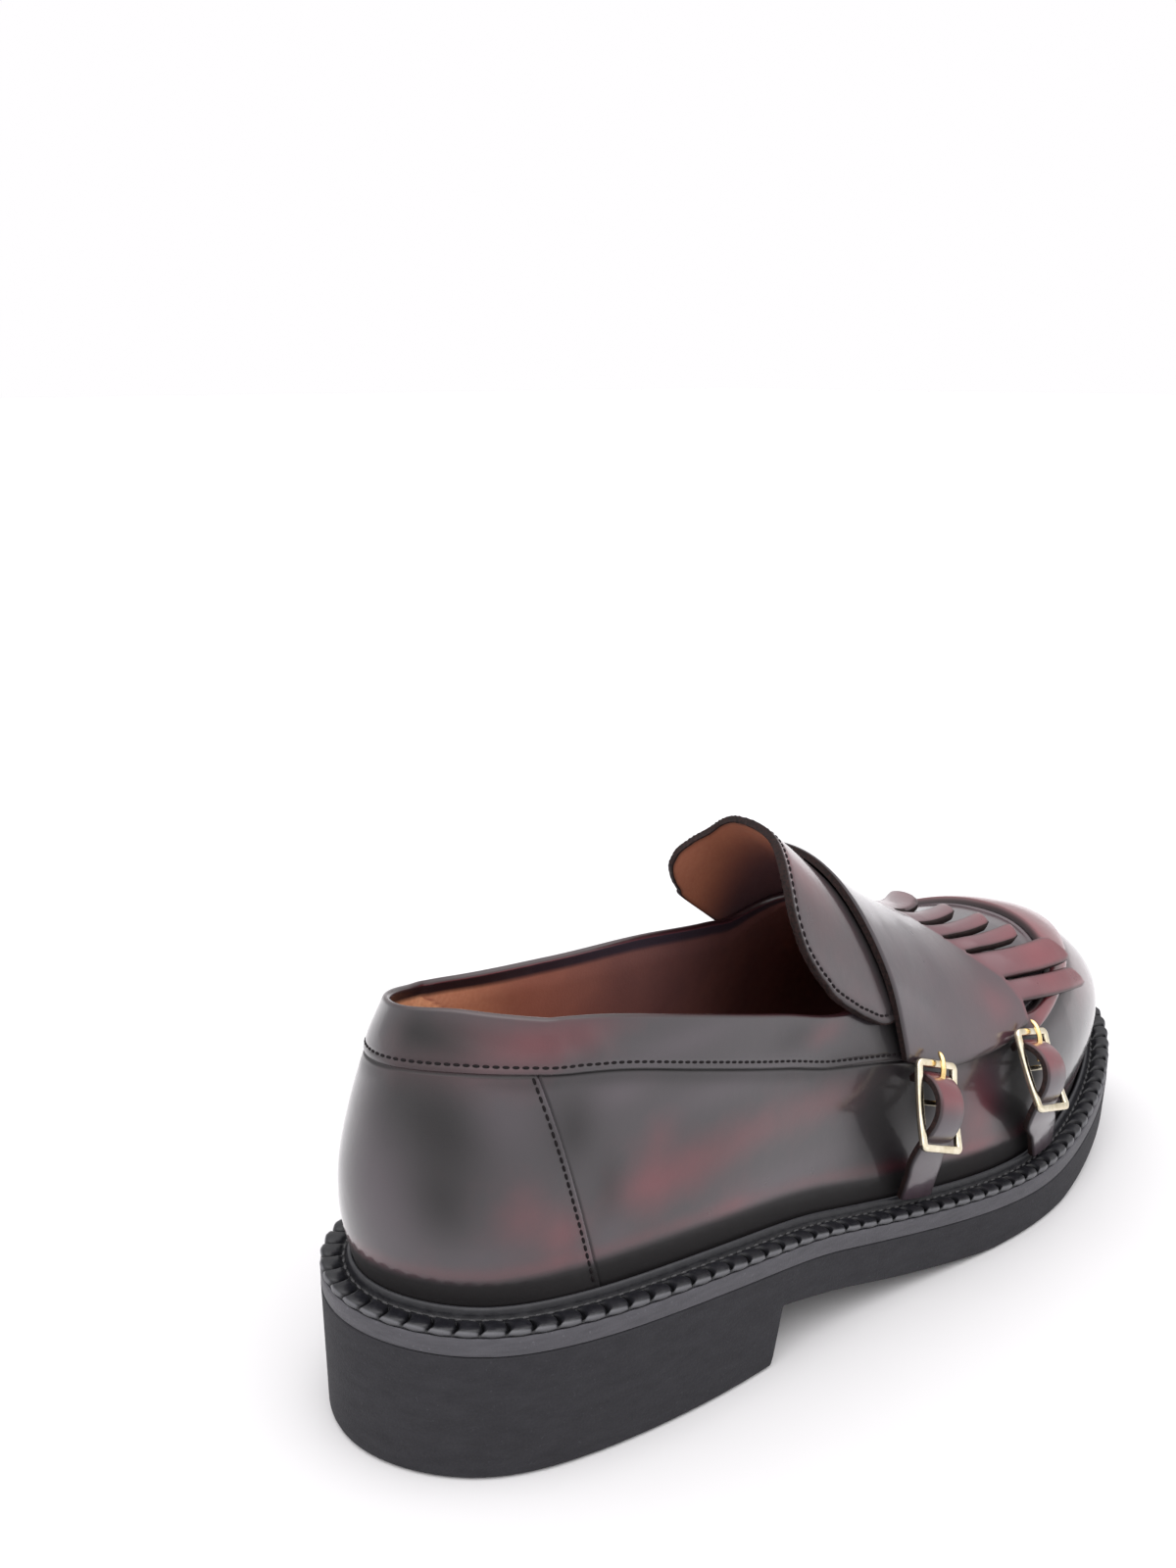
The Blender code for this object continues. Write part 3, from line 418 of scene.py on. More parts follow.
class Skin:
    """Points, faces, face materials and a tone per point, in shoe space."""

    def __init__(self):
        self.points, self.tones, self.faces, self.kinds = [], [], [], []
        self.count = 0

    def add(self, points, tone=(0.0, 0.0, 0.0)):
        """Adds a grid of points and returns their numbers in the same shape."""
        points = np.asarray(points, float)
        self.points.append(points.reshape(-1, 3))
        self.tones.append(np.broadcast_to(tone, points.shape).reshape(-1, 3))
        numbers = self.count + np.arange(points.size // 3)
        self.count += len(numbers)
        return numbers.reshape(points.shape[:-1])

    def quads(self, a, b, c, d, kind=0):
        self.faces.append(np.stack([np.ravel(v) for v in (a, b, c, d)], 1))
        self.kinds.append(np.broadcast_to(kind, np.shape(a)).ravel())

    def grid(self, numbers, kind=0, wrap=False):
        """Quads over a grid of numbers; wrap joins its last column to its first."""
        if wrap:
            numbers = np.concatenate([numbers, numbers[:, :1]], 1)
        self.quads(numbers[:-1, :-1], numbers[:-1, 1:], numbers[1:, 1:], numbers[1:, :-1],
                   kind)

    def sheet(self, high, low, tone_high, tone_low, solid=None, kinds=(0, 1, 2), cut=None):
        """Two grids walled together round every edge of the cells kept; cells marked cut
        have the walls' material on both faces."""
        up = self.add(high, tone_high)
        down = self.add(low, tone_low)
        rows, cols = up.shape
        if solid is None:
            solid = np.ones((rows - 1, cols - 1), bool)
        i, j = np.nonzero(solid)
        around = ((i, j), (i, j + 1), (i + 1, j + 1), (i + 1, j))
        cut = np.zeros(len(i), bool) if cut is None else cut[i, j]
        self.quads(*[up[c] for c in around], np.where(cut, kinds[2], kinds[0]))
        self.quads(*[down[c] for c in around[::-1]], np.where(cut, kinds[2], kinds[1]))
        padded = np.pad(solid, 1)
        for k, (a, b) in enumerate(((0, 1), (1, 2), (2, 1), (1, 0))):
            edge = ~padded[i + a, j + b]
            here, there = ((r[edge], c[edge]) for r, c in (around[k], around[(k + 1) % 4]))
            self.quads(up[here], down[here], down[there], up[there], kinds[2])

    def tube(self, loops, closed=False):
        """Skin through loops of points; closed joins the last loop to the first."""
        loops = np.asarray(loops, float)
        numbers = self.add(loops)
        if closed:
            self.grid(np.concatenate([numbers, numbers[:1]]), wrap=True)
            return
        self.grid(numbers, wrap=True)
        for ring, points in ((numbers[0], loops[0]), (numbers[-1], loops[-1])):
            cap = np.full(len(ring), self.add(points.mean(0)[None])[0])
            self.quads(ring, np.roll(ring, -1), cap, cap)


def close_to(distance, limit):
    """Cells of a grid whose four corners lie within a distance of the edge."""
    corners = (distance[:-1, :-1], distance[:-1, 1:], distance[1:, :-1], distance[1:, 1:])
    return np.maximum.reduce(corners) < limit


def shoe_to_part(points):
    return (np.asarray(points, float) - (MIDDLE, LENGTH / 2, 0.0)) * MM


def show(name, data, materials=()):
    """Object of a mesh or camera, in the scene."""
    for material in materials:
        data.materials.append(material)
    thing = bpy.data.objects.new(name, data)
    bpy.context.scene.collection.objects.link(thing)
    return thing


def make(name, skin, materials, nodes=(), sharp=50.0):
    """Piece of the shoe, in place of CAD nodes or beside them."""
    corners = [list(dict.fromkeys(f)) for f in np.concatenate(skin.faces).tolist()]
    mesh = bpy.data.meshes.new(name)
    mesh.from_pydata(shoe_to_part(np.concatenate(skin.points)).tolist(), [], corners)
    kinds = np.concatenate(skin.kinds).astype(np.int32)
    mesh.polygons.foreach_set("material_index", kinds)
    layer = mesh.attributes.new("tone", "FLOAT_COLOR", "POINT")
    full = np.pad(np.concatenate(skin.tones), ((0, 0), (0, 1)), constant_values=1.0)
    layer.data.foreach_set("color", full.astype(np.float32).ravel())
    work = bmesh.new()
    work.from_mesh(mesh)
    loose = [v for v in work.verts if not v.link_faces]
    bmesh.ops.delete(work, geom=loose, context="VERTS")
    bmesh.ops.remove_doubles(work, verts=work.verts, dist=MERGE)
    bmesh.ops.recalc_face_normals(work, faces=work.faces)
    work.to_mesh(mesh)
    work.free()
    mesh.shade_smooth()
    mesh.set_sharp_from_angle(angle=math.radians(sharp))
    piece = show(name, mesh, materials)
    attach(piece, "root")
    if nodes:
        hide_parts(*nodes)


STITCH_SHARES = np.array([-1.0, -0.8, -0.35, 0.35, 0.8, 1.0])
STITCH_ROUND = np.array([0.15, 0.75, 1.0, 1.0, 0.75, 0.15])


def sew(skin, path, out, pitch=2.1, length=1.65, radius=0.34, slant=0.0):
    """Row of stitches along a path that lies on the leather; out is the way off it."""
    reach = reach_along(path)
    count = max(int(reach[-1] / pitch), 1)
    at = (np.arange(count) + 0.5) * reach[-1] / count
    points = read(at, reach, path)
    along = unit(read(at + 0.3, reach, path) - read(at - 0.3, reach, path))
    off = read(np.linspace(0, 1, count), np.linspace(0, 1, len(path)), out)
    off = unit(off - np.sum(off * along, axis=1)[:, None] * along)
    side = np.cross(along, off)
    along = along + slant * side
    turn = np.arange(7) * 2 * math.pi / 7
    ring = (np.cos(turn)[:, None] * side[:, None, None]
            + 0.8 * np.sin(turn)[:, None] * off[:, None, None])
    sunk = -0.35 * radius * (1 + 1.4 * STITCH_SHARES ** 2)
    loops = (points[:, None, None]
             + along[:, None, None] * (STITCH_SHARES * length / 2)[:, None, None]
             + off[:, None, None] * (0.55 * radius + sunk)[:, None, None]
             + ring * (radius * STITCH_ROUND)[:, None, None])
    for loop in loops:
        skin.tube(loop)


# ---- materials
class Nodes:
    """Short way to lay out the nodes of one material or world."""

    def __init__(self, name, kind="materials", shader="Principled BSDF"):
        self.made = getattr(bpy.data, kind).new(name)
        self.made.use_nodes = True
        self.tree = self.made.node_tree
        self.shader = self.tree.nodes[shader]

    def put(self, socket, value):
        if isinstance(value, bpy.types.NodeSocket):
            self.tree.links.new(value, socket)
        else:
            socket.default_value = value

    def fill(self, node, inputs):
        for key, value in inputs.items():
            self.put(node.inputs[key.replace("_", " ")], value)

    def new(self, kind, settings=(), **inputs):
        node = self.tree.nodes.new("ShaderNode" + kind)
        for key, value in settings:
            setattr(node, key, value)
        self.fill(node, inputs)
        return node

    def shade(self, **inputs):
        """Sets the shader's inputs and gives the finished material or world."""
        self.fill(self.shader, inputs)
        return self.made

    def noise(self, scale, detail=3.0, rough=0.55, stretch=None):
        where = self.new("TexCoord").outputs["Object"]
        if stretch is not None:
            where = self.new("Mapping", Scale=stretch, Vector=where).outputs["Vector"]
        return self.new("TexNoise", Vector=where, Scale=scale, Detail=detail,
                        Roughness=rough).outputs["Fac"]

    def cloud(self, scale, detail, low, high, to_low=0.0, to_high=1.0):
        """Noise spread over a range."""
        return self.span(self.noise(scale, detail), low, high, to_low, to_high)

    def tone(self):
        node = self.new("Attribute", (("attribute_name", "tone"),))
        split = self.new("SeparateColor", Color=node.outputs["Color"])
        return [split.outputs[c] for c in ("Red", "Green", "Blue")]

    def span(self, value, low, high, to_low=0.0, to_high=1.0, kind="LINEAR"):
        return self.new("MapRange", (("interpolation_type", kind),), Value=value,
                        From_Min=low, From_Max=high, To_Min=to_low,
                        To_Max=to_high).outputs["Result"]

    def math(self, operation, a, b=0.0):
        node = self.new("Math", (("operation", operation),))
        self.put(node.inputs[0], a)
        self.put(node.inputs[1], b)
        return node.outputs[0]

    def mix(self, share, a, b):
        node = self.new("Mix", (("data_type", "RGBA"),))
        for socket, value in ((0, share), (6, a), (7, b)):
            self.put(node.inputs[socket],
                     (*value, 1.0) if isinstance(value, tuple) else value)
        return node.outputs[2]

    def bump(self, height, distance, strength=1.0, under=None):
        node = self.new("Bump", Height=height, Distance=distance, Strength=strength)
        if under is not None:
            self.put(node.inputs["Normal"], under)
        return node.outputs["Normal"]


BLACK_CHERRY = (0.0080, 0.0052, 0.0072)
WINE = (0.145, 0.0155, 0.024)
# grey mixed in by the third tone share: painted reflections and highlights on the polish
SHEEN_GREY = (0.062, 0.046, 0.058)


# near black of the dark share: ink on cut edges, and painted shade and dark reflections
INK_AND_SHADE = (0.0035, 0.0025, 0.003)


def polished_leather():
    """Brush-off leather: wine red worn through a near-black finish, under clear polish, with
    painted shade and painted grey reflections in its tone.
    """
    n = Nodes("polished_leather")
    red, dark, sheen = n.tone()
    cloud = n.cloud(28.0, 2.0, 0.32, 0.68, -0.16, 0.16)
    fine = n.cloud(160.0, 4.0, 0.3, 0.7, -0.05, 0.05)
    share = n.math("ADD", n.math("ADD", red, n.math("MULTIPLY", cloud, red)), fine)
    colour = n.mix(n.span(share, 0.02, 0.95), BLACK_CHERRY, WINE)
    # painted grey reflections and highlights, from the third tone share
    colour = n.mix(n.math("MULTIPLY", sheen, 0.9), colour, SHEEN_GREY)
    soft = n.noise(240.0, 2.0)
    grain = n.bump(n.noise(2600.0, 2.0), 0.00006, 0.35, n.bump(soft, 0.0004, 0.12))
    rough = n.math("ADD", n.cloud(90.0, 3.0, 0.3, 0.7, 0.27, 0.33),
                   n.math("MULTIPLY", dark, 0.40))
    coat = n.math("SUBTRACT", 1.0, n.math("MULTIPLY", dark, 0.9))
    # the dark share turns the colour near black: ink on cut edges, and painted shade and dark
    # reflections
    return n.shade(Base_Color=n.mix(dark, colour, INK_AND_SHADE), Normal=grain, Roughness=rough,
                   Coat_Weight=coat, Coat_Roughness=0.13, Coat_IOR=1.5,
                   Specular_IOR_Level=0.42, Coat_Normal=n.bump(soft, 0.0004, 0.1))


def lining_leather():
    """Tan lining with a dark facing along the topline and a lighter suede heel grip."""
    n = Nodes("tan_lining")
    facing, suede, shade = n.tone()
    tan = n.mix(n.cloud(60.0, 4.0, 0.3, 0.7), (0.26, 0.088, 0.056), (0.35, 0.122, 0.076))
    grip = n.mix(n.cloud(900.0, 4.0, 0.3, 0.7), (0.55, 0.24, 0.13), (0.70, 0.34, 0.19))
    colour = n.mix(facing, n.mix(suede, tan, grip), (0.016, 0.007, 0.008))
    colour = n.mix(n.math("MULTIPLY", shade, 0.8), colour, (0.050, 0.040, 0.058))
    rough = n.math("SUBTRACT", n.cloud(300.0, 3.0, 0.3, 0.7, 0.5, 0.62),
                   n.math("MULTIPLY", facing, 0.2))
    return n.shade(Base_Color=colour, Roughness=rough, Specular_IOR_Level=0.35,
                   Normal=n.bump(n.noise(1500.0, 3.0), 0.00012, 0.5))


def thread(name, colour, light, shine):
    n = Nodes(name)
    ply = n.noise(2300.0, 3.0)
    return n.shade(Base_Color=n.mix(ply, colour, light), Specular_IOR_Level=shine,
                   Roughness=n.span(ply, 0.3, 0.7, 0.6, 0.75),
                   Normal=n.bump(ply, 0.00015, 0.7))


def welt_rubber():
    """Glossy black strip with faint dusty mottling, painted highlights on its rib edges and
    bead, and painted shade in its notches and groove.
    """
    n = Nodes("glossy_welt")
    edge, dark, _ = n.tone()
    dust = n.cloud(500.0, 4.0, 0.45, 0.75, 0.0, 0.5)
    colour = n.mix(dust, (0.0075, 0.0075, 0.0100), (0.022, 0.022, 0.026))
    # edge paints a highlight grey on the ribs' edges and the bead, dark paints shade near
    # black in the notches and the groove
    colour = n.mix(dark, n.mix(edge, colour, (0.12, 0.12, 0.13)), (0.003, 0.003, 0.003))
    soft = n.bump(n.noise(420.0, 3.0), 0.0003, 0.35)
    return n.shade(Base_Color=colour, Roughness=n.cloud(260.0, 3.0, 0.3, 0.7, 0.30, 0.42),
                   Normal=n.bump(n.noise(2400.0, 2.0), 0.00008, 0.4, soft),
                   Specular_IOR_Level=0.36)


def grainy(name, colours, tint, rough, relief, **more):
    """Material of two colours; tint, rough and relief each start with a noise's scale and
    detail, and give its range or the depth and strength of the bump."""
    n = Nodes(name)
    return n.shade(Base_Color=n.mix(n.cloud(*tint), *colours), Roughness=n.cloud(*rough),
                   Normal=n.bump(n.noise(*relief[:2]), *relief[2:]), **more)


def foam(name, colour, light, rough, stretch):
    """Fine closed-cell rubber with faint trimming marks along its side."""
    n = Nodes(name)
    cells = n.noise(1900.0, 3.0)
    marks = n.noise(140.0, 4.0, 0.6, stretch)
    specks = n.cloud(1100.0, 2.0, 0.66, 0.74, 0.0, 0.35)
    base = n.mix(n.span(marks, 0.3, 0.7), colour, light)
    base = n.mix(specks, base, tuple(2.4 * c for c in light))
    return n.shade(Base_Color=base, Specular_IOR_Level=0.35,
                   Roughness=n.span(cells, 0.3, 0.7, rough - 0.06, rough + 0.06),
                   Normal=n.bump(cells, 0.00016, 0.6, n.bump(marks, 0.0004, 0.25)))


POLISHED = polished_leather()
LINING = lining_leather()
EDGE_INK = grainy("inked_edge", ((0.005, 0.003, 0.003), (0.026, 0.012, 0.011)),
                  (1400, 4, 0.35, 0.7), (1400, 4, 0.3, 0.7, 0.65, 0.85),
                  (1400, 4, 0.0002, 0.6), Specular_IOR_Level=0.2)
DARK_THREAD = thread("dark_thread", (0.003, 0.002, 0.0025), (0.009, 0.006, 0.007), 0.15)
WELT_THREAD = thread("grey_thread", (0.03, 0.03, 0.033), (0.09, 0.088, 0.09), 0.3)
WELT = welt_rubber()
SIDE_BAND = foam("grey_side_band", (0.046, 0.045, 0.052), (0.064, 0.062, 0.071), 0.5,
                 (1.0, 1.0, 6.0))
SOLE_FOAM = foam("charcoal_foam", (0.0135, 0.0130, 0.0162), (0.0200, 0.0195, 0.0235), 0.8,
                 (1.0, 1.0, 3.0))
SOCK = grainy("sock_leather", ((0.17, 0.055, 0.020), (0.25, 0.085, 0.032)),
              (35, 4, 0.3, 0.7), (400, 3, 0.3, 0.7, 0.5, 0.66), (1300, 3, 0.00014, 0.5))
PLATED = ((330, 4, 0.4, 0.75), (700, 3, 0.3, 0.7, 0.14, 0.24), (900, 2, 0.00005, 0.3))
FRAME_METAL = grainy("pale_gold", ((0.83, 0.76, 0.60), (0.62, 0.53, 0.36)), *PLATED,
                     Metallic=1)
PRONG_METAL = grainy("gold", ((0.83, 0.62, 0.30), (0.60, 0.40, 0.15)), *PLATED, Metallic=1)


# ---- tones of the leather
RED_PATCHES = (  # side, station, height, reach along, reach up, strength
    (1, 60, 58, 8, 7, 0.6), (1, 74, 58.5, 12, 6.5, 0.65),
    (1, 92, 61, 14, 5.5, 0.45), (1, 118, 60, 16, 5, 0.42),
    (1, 64, 69, 6, 5, 0.3),
    (1, 38, 53.5, 6, 6, 0.55), (1, 29, 60, 7, 8, 0.35),
    (1, 38, 98.5, 15, 4.5, 0.75), (1, 20, 92, 14, 5, 0.3),
    (1, 119, 78, 7, 3, 0.35), (1, 175, 37, 7.5, 15, 0.65),
    (1, 86, 44.5, 8, 5, 0.3), (1, 205, 38, 12, 6, 0.2),
    (1, 258, 44, 16, 8, 0.35),
    (-1, 75, 60, 22, 10, 0.6), (-1, 115, 52, 20, 10, 0.5),
    (-1, 25, 47, 14, 6, 0.45), (-1, 48, 92, 12, 5, 0.5),
    (-1, 205, 40, 18, 9, 0.55), (-1, 250, 44, 16, 9, 0.4))
# painted grey reflections and highlights on the upper: side, station, height, reach along,
# reach up, strength
SHEEN_PATCHES = (
    (1, 7, 66, 5, 18, 0.55), (1, 25, 84, 7, 8, 0.45),
    (1, 20, 51, 10, 5, 0.35), (1, 54, 83, 9, 4, 0.5),
    (1, 50, 49, 6, 6, 0.4), (1, 100, 43.5, 24, 5, 0.55),
    (1, 85, 75, 20, 4, 0.35), (1, 72, 89.5, 16, 3, 0.35),
    (1, 180, 48, 9, 7, 0.3), (-1, 60, 80, 20, 6, 0.4),
    (-1, 110, 46, 24, 6, 0.45), (-1, 20, 70, 8, 14, 0.4))
# darker tone with painted shade and dark reflections on the quarters, round the heel, along
# the topline and behind the straps and buckles: side, station, height, reach along, reach up,
# strength
DARK_TONE_AND_SHADE_PATCHES = (
    (1, 17, 82, 8, 15, 0.9), (1, 14.5, 64, 5, 8, 0.5),
    (1, 41.5, 78, 6, 9, 0.6), (1, 50, 62, 4, 8, 0.35),
    (1, 138, 50, 10, 20, 0.92), (1, 122, 68, 10, 5, 0.4),
    (1, 191, 38, 6.5, 22, 0.85), (1, 19.5, 99.5, 7, 5, 0.65),
    (1, 8, 98, 6, 6, 0.45), (1, 37, 98.5, 14, 4, 0.3), (1, 76, 60, 17, 8, 0.18),
    (1, 108, 80, 10, 4, 0.35), (1, 155, 51, 8, 11, 1),
    (1, 198, 47, 8, 11, 1),
    (-1, 40, 74, 9, 10, 0.5), (-1, 150, 45, 14, 14, 0.5))


def on_side(points, side):
    """1 on the outer (+1) or inner (-1) side of the shoe, 0 on the other."""
    return step(-6, 6, side * (points[..., 0] + 2.0))


def patches(points, rows):
    """Share of a tone at points of the shoe from rows of patches."""
    total = 0.0
    for side, station, height, along, up, strength in rows:
        spot = np.exp(-((points[..., 1] - station) / along) ** 2
                      - ((points[..., 2] - height) / up) ** 2)
        total = total + strength * spot * on_side(points, side)
    return np.clip(total, 0, 1)


# ---- sole unit
ROUND_THE_SOLE = np.arange(900) / 900.0


def mid_line(ring):
    """The shoe's middle beside each point of a ring."""
    return np.stack([0 * ring[:, 0], np.clip(ring[:, 1], HEEL_POLE, TOE_POLE)], 1)


def round_length(curve):
    return np.linalg.norm(np.roll(curve, -1, 0) - curve, axis=1).sum()


def sole_ring(inset, height, part=1.0, base=0.0):
    """Ring inset from the welt's edge; its height is a function of the station or lies
    over the welt's edge by base and height; part draws it in to the middle."""
    ring = ring_at(inset_edge(inset), ROUND_THE_SOLE)
    middle = mid_line(ring)
    ring = middle + (ring - middle) * part
    high = height(ring[:, 1]) if callable(height) else top(ring[:, 1]) + base + height
    return np.column_stack([ring, high])


def slab(name, material, node, rings, base=0.0, sharp=50.0):
    """Piece through rings, its first and last closed by quads across the shoe."""
    skin = Skin()
    loops = [sole_ring(*ring, base=base) for ring in rings]
    numbers = np.array([skin.add(loop) for loop in loops])
    skin.grid(numbers, wrap=True)
    for k in (0, -1):
        cap = skin.add(np.column_stack([mid_line(loops[k]), loops[k][:, 2]]))
        skin.grid(np.array([numbers[k], cap]), wrap=True)
    make(name, skin, [material], [node], sharp)


SOLE_ROUND = 1.6  # the tread's edge is rounded over this height
SIDE_ROUND = 1.5  # and over this width
CORE = 6.0  # inset of the flat faces hidden between two layers
CLOSED = 0.02  # a ring drawn in to the middle, where a layer is closed


def dress_outsole():
    """Tread with a rounded edge, sheer side and flat top."""
    def side(part, more=0.0):
        return lambda y: (tread(y) + SOLE_ROUND
                          + (top(y) - MIDSOLE - tread(y) - SOLE_ROUND) * part + more)

    rings = [(8.0, tread, part) for part in (CLOSED, 0.3, 0.6, 0.85)]
    rings += [(inset, tread) for inset in (5.0, 2.6, 1.9)]
    for turn in (0.3, 0.6, 0.85, 1.0):
        angle = turn * math.pi / 2
        rings.append((1.9 - SIDE_ROUND * math.sin(angle),
                      lambda y, a=angle: tread(y) + SOLE_ROUND * (1 - math.cos(a))))
    rings += [(0.4 - 0.4 * part, side(part)) for part in (0.25, 0.5, 0.75, 0.93)]
    full = side(1.0)
    rings += [(0.0, side(1.0, -0.35)), (0.35, full), (CORE, full), (CORE, full, CLOSED)]
    slab("outsole_foam", SOLE_FOAM, "outsole", rings, sharp=35)


def dress_midsole():
    rings = [(CORE, 0.1, CLOSED), (CORE, 0.1), (0.45, 0.1), (0.1, 0.35)]
    rings += [(0.05, height) for height in (1.2, 2.3, 3.4, 4.3)]
    rings += [(0.35, MIDSOLE), (CORE, MIDSOLE), (CORE, MIDSOLE, CLOSED)]
    slab("side_band", SIDE_BAND, "midsole", rings, -MIDSOLE)


def dress_insole():
    edge = WELT_MARGIN + WALL + 1.3
    inner = edge + 5.0
    rings = [(edge, 0.6, CLOSED), (edge, 0.6), (edge - 0.4, 2.2), (edge, 3.2),
             (edge + 0.8, 3.6), (inner, 3.5), (inner, 3.2, 0.5), (inner, 3.2, CLOSED)]
    slab("sock", SOCK, "insole", rings)


WELT_ROWS = (  # inset, height, share of the notch's depth
    (0.35, 0.15, 0), (0, 0.5, 0.3), (-0.05, 0.95, 0.8), (0.1, 1.35, 1),
    (0.45, 1.65, 1), (0.9, 1.8, 1), (1.5, 1.9, 1), (2.1, 1.95, 1), (2.7, 1.95, 1),
    (3.3, 1.9, 1), (3.8, 1.85, 0.95), (4.25, 1.75, 0.75), (4.6, 1.5, 0.4), (4.9, 1.15, 0.1),
    (5.25, 0.95, 0), (5.6, 0.95, 0), (5.85, 1.15, 0), (6.05, 1.9, 0), (6.3, 2.7, 0),
    (6.6, 3.2, 0), (6.95, 3.4, 0), (7.3, 3.2, 0), (7.6, 2.7, 0), (7.85, 1.9, 0),
    (8.1, 1.2, 0), (9.5, 0.6, 0), (11, 0.35, 0), (11, 0.15, 0))
NOTCH_DEPTH = 1.25
NOTCH_WIDTH = 0.075  # in ribs
NOTCH_CURVE = 0.16
NOTCH_END = 4.9  # the notches stop this far in


WELT_COLUMNS = 16  # columns a rib
WELT_SEAM = 5.45  # inset of the stitches in the welt's groove


def dress_welt():
    """Pillowed ribs between curved notches, a stitched groove and a raised bead."""
    ribs = round(round_length(EDGE) / RIB_PITCH)
    even = np.linspace(-1, 1, WELT_COLUMNS, endpoint=False)
    phase = np.sign(even) * np.abs(even) ** 1.6 / 2
    rib = (np.arange(ribs)[:, None] + phase).ravel()
    phase = np.tile(phase, ribs)
    wave = np.cos(2 * math.pi * phase)
    skin = Skin()
    numbers = []
    for inset, height, share in WELT_ROWS:
        bend = NOTCH_CURVE * ((min(inset, NOTCH_END) - 2.2) / 2.4) ** 2
        places = (rib - bend) / ribs % 1
        notch = np.exp(-(phase / NOTCH_WIDTH) ** 2) * share
        lip = np.exp(-((phase - 0.2) / 0.1) ** 2) * share
        edge = ring_at(inset_edge(inset), places)
        inward = ring_at(inset_edge(inset + 1.0), places) - edge
        near_edge = float(step(1.4, 0.2, inset))
        scallop = (0.35 * notch + 0.2 * (1 + wave)) * near_edge
        flat = edge + inward * scallop[:, None]
        drop = NOTCH_DEPTH * notch * (1.0 if inset > 0.2 else 0.35)
        high = np.maximum(height - drop + 0.15 * lip - 0.2 * wave * share, 0.15)
        # painted shade in the notches and the stitched groove
        deep = 0.9 * notch + 0.6 * hump(inset, 5.4, 0.45)
        # painted highlights on the ribs' outer edges and the bead's crest
        lit = 0.8 * hump(inset, 0.05, 0.2) * step(0.4, 0.9, height) * (1 - notch)
        lit = lit + 0.35 * hump(inset, 7.1, 0.4)
        numbers.append(skin.add(np.column_stack([flat, top(flat[:, 1]) + high]),
                                tones(lit, deep, 0.0)))
    skin.grid(np.array(numbers + numbers[:1]), wrap=True)
    make("gimped_welt", skin, [WELT], ["welt"], 60)
    seam = Skin()
    line = ring_at(inset_edge(WELT_SEAM), np.arange(1600) / 1600.0)
    line = np.column_stack([line, top(line[:, 1]) + 1.05])
    line = np.concatenate([line, line[:1]])
    sew(seam, line, np.broadcast_to((0.0, 0.0, 1.0), line.shape), RIB_PITCH / 2, 1.7, 0.34)
    make("welt_stitches", seam, [WELT_THREAD])


# ---- upper
def upper_columns():
    """Places round the shoe, their stations, and those held between the two poles."""
    seam = SEAM + np.linspace(-1.2, 1.2, 13)
    ys = np.concatenate([np.arange(HEEL_POLE, TOE_POLE, 1.4), seam, [TOE_POLE]])
    ys = np.unique(ys.round(3))
    outer, inner = (place_at(FEATHER, ys, side) for side in (1, -1))
    heel = np.linspace(inner[0] - 1, outer[0], 66)[1:-1]
    toe = np.linspace(outer[-1], inner[-1], 110)[1:-1]
    stations = np.concatenate([ring_at(FEATHER, heel)[:, 1], ys,
                               ring_at(FEATHER, toe)[:, 1], ys[::-1]])
    places = np.concatenate([heel, outer, toe, inner[::-1]])
    return places, stations, np.clip(stations, HEEL_POLE, TOE_POLE)


OUTER_ROWS = (52, 5, 4, 4, 12, 12, 26, 6)  # rows of faces between the outer knots
INNER_ROWS = (14, 12)  # and between those of the lining
CLOSE_FROM = 156.5  # the collar is closed over the foot in front of this station
COLLAR_ROLL = 1.3  # radius of the collar's folded edge
FACING = 2.7  # dark facing inside the collar
GRIP_END = 56.0  # station of the suede heel grip's front end

BAND_ROW = 1.7  # stitches over the band's edge
COUNTER_ROW = 1.4  # stitches behind the counter's edge
GROOVE_ROW = 0.85  # stitches inside the apron's groove
RIM_TONE = (0.15, 0.35, 0.0)  # of the collar's folded edge
LIP_SEAM_FROM = 200.0  # and those of the apron behind this one
BAND_SEAM_END = 150.0  # the saddle hides the band's stitches in front of this station

CREASES = (  # side, station, height, direction: along, up, half length, half width, depth
    (1, 43, 96.5, 0.35, -0.94, 4.5, 2.6, 0.75), (1, 49, 95, 0.25, -0.97, 4, 2.2, -0.35),
    (1, 27, 99, 0.9, -0.3, 9, 2.6, 0.35), (1, 60, 93.5, 0.95, -0.2, 10, 3, 0.25),
    (1, 118, 78, 0.9, -0.2, 12, 3, 0.3), (1, 96, 62, 0.95, -0.1, 26, 7, -0.35),
    (-1, 40, 90, 0.4, -0.9, 5, 2.6, 0.5),
    (-1, 62, 88, 0.95, -0.1, 10, 3, 0.3), (-1, 100, 62, 0.95, -0.1, 26, 7, -0.3))


def crease_depth(points):
    """Soft troughs (+) and ridges (-) of the worn-in quarters."""
    total = 0.0
    for side, station, height, along, up, length, width, depth in CREASES:
        ahead, above = points[..., 1] - station, points[..., 2] - height
        run = (ahead * along + above * up) / length
        across = (ahead * up - above * along) / width
        total = total + depth * on_side(points, side) * np.exp(-run ** 2 - across ** 2)
    return total


def spread(knots, counts):
    """Values through knots, each gap split evenly into its count."""
    parts = [np.linspace(a, b, n, endpoint=False)
             for a, b, n in zip(knots[:-1], knots[1:], counts)]
    return np.concatenate(parts + [knots[-1:]])


TOE_WINE = 246.0  # station of the wine red over the toe
SADDLE_BESIDE = 0.62  # girth at which the saddle casts its shadow


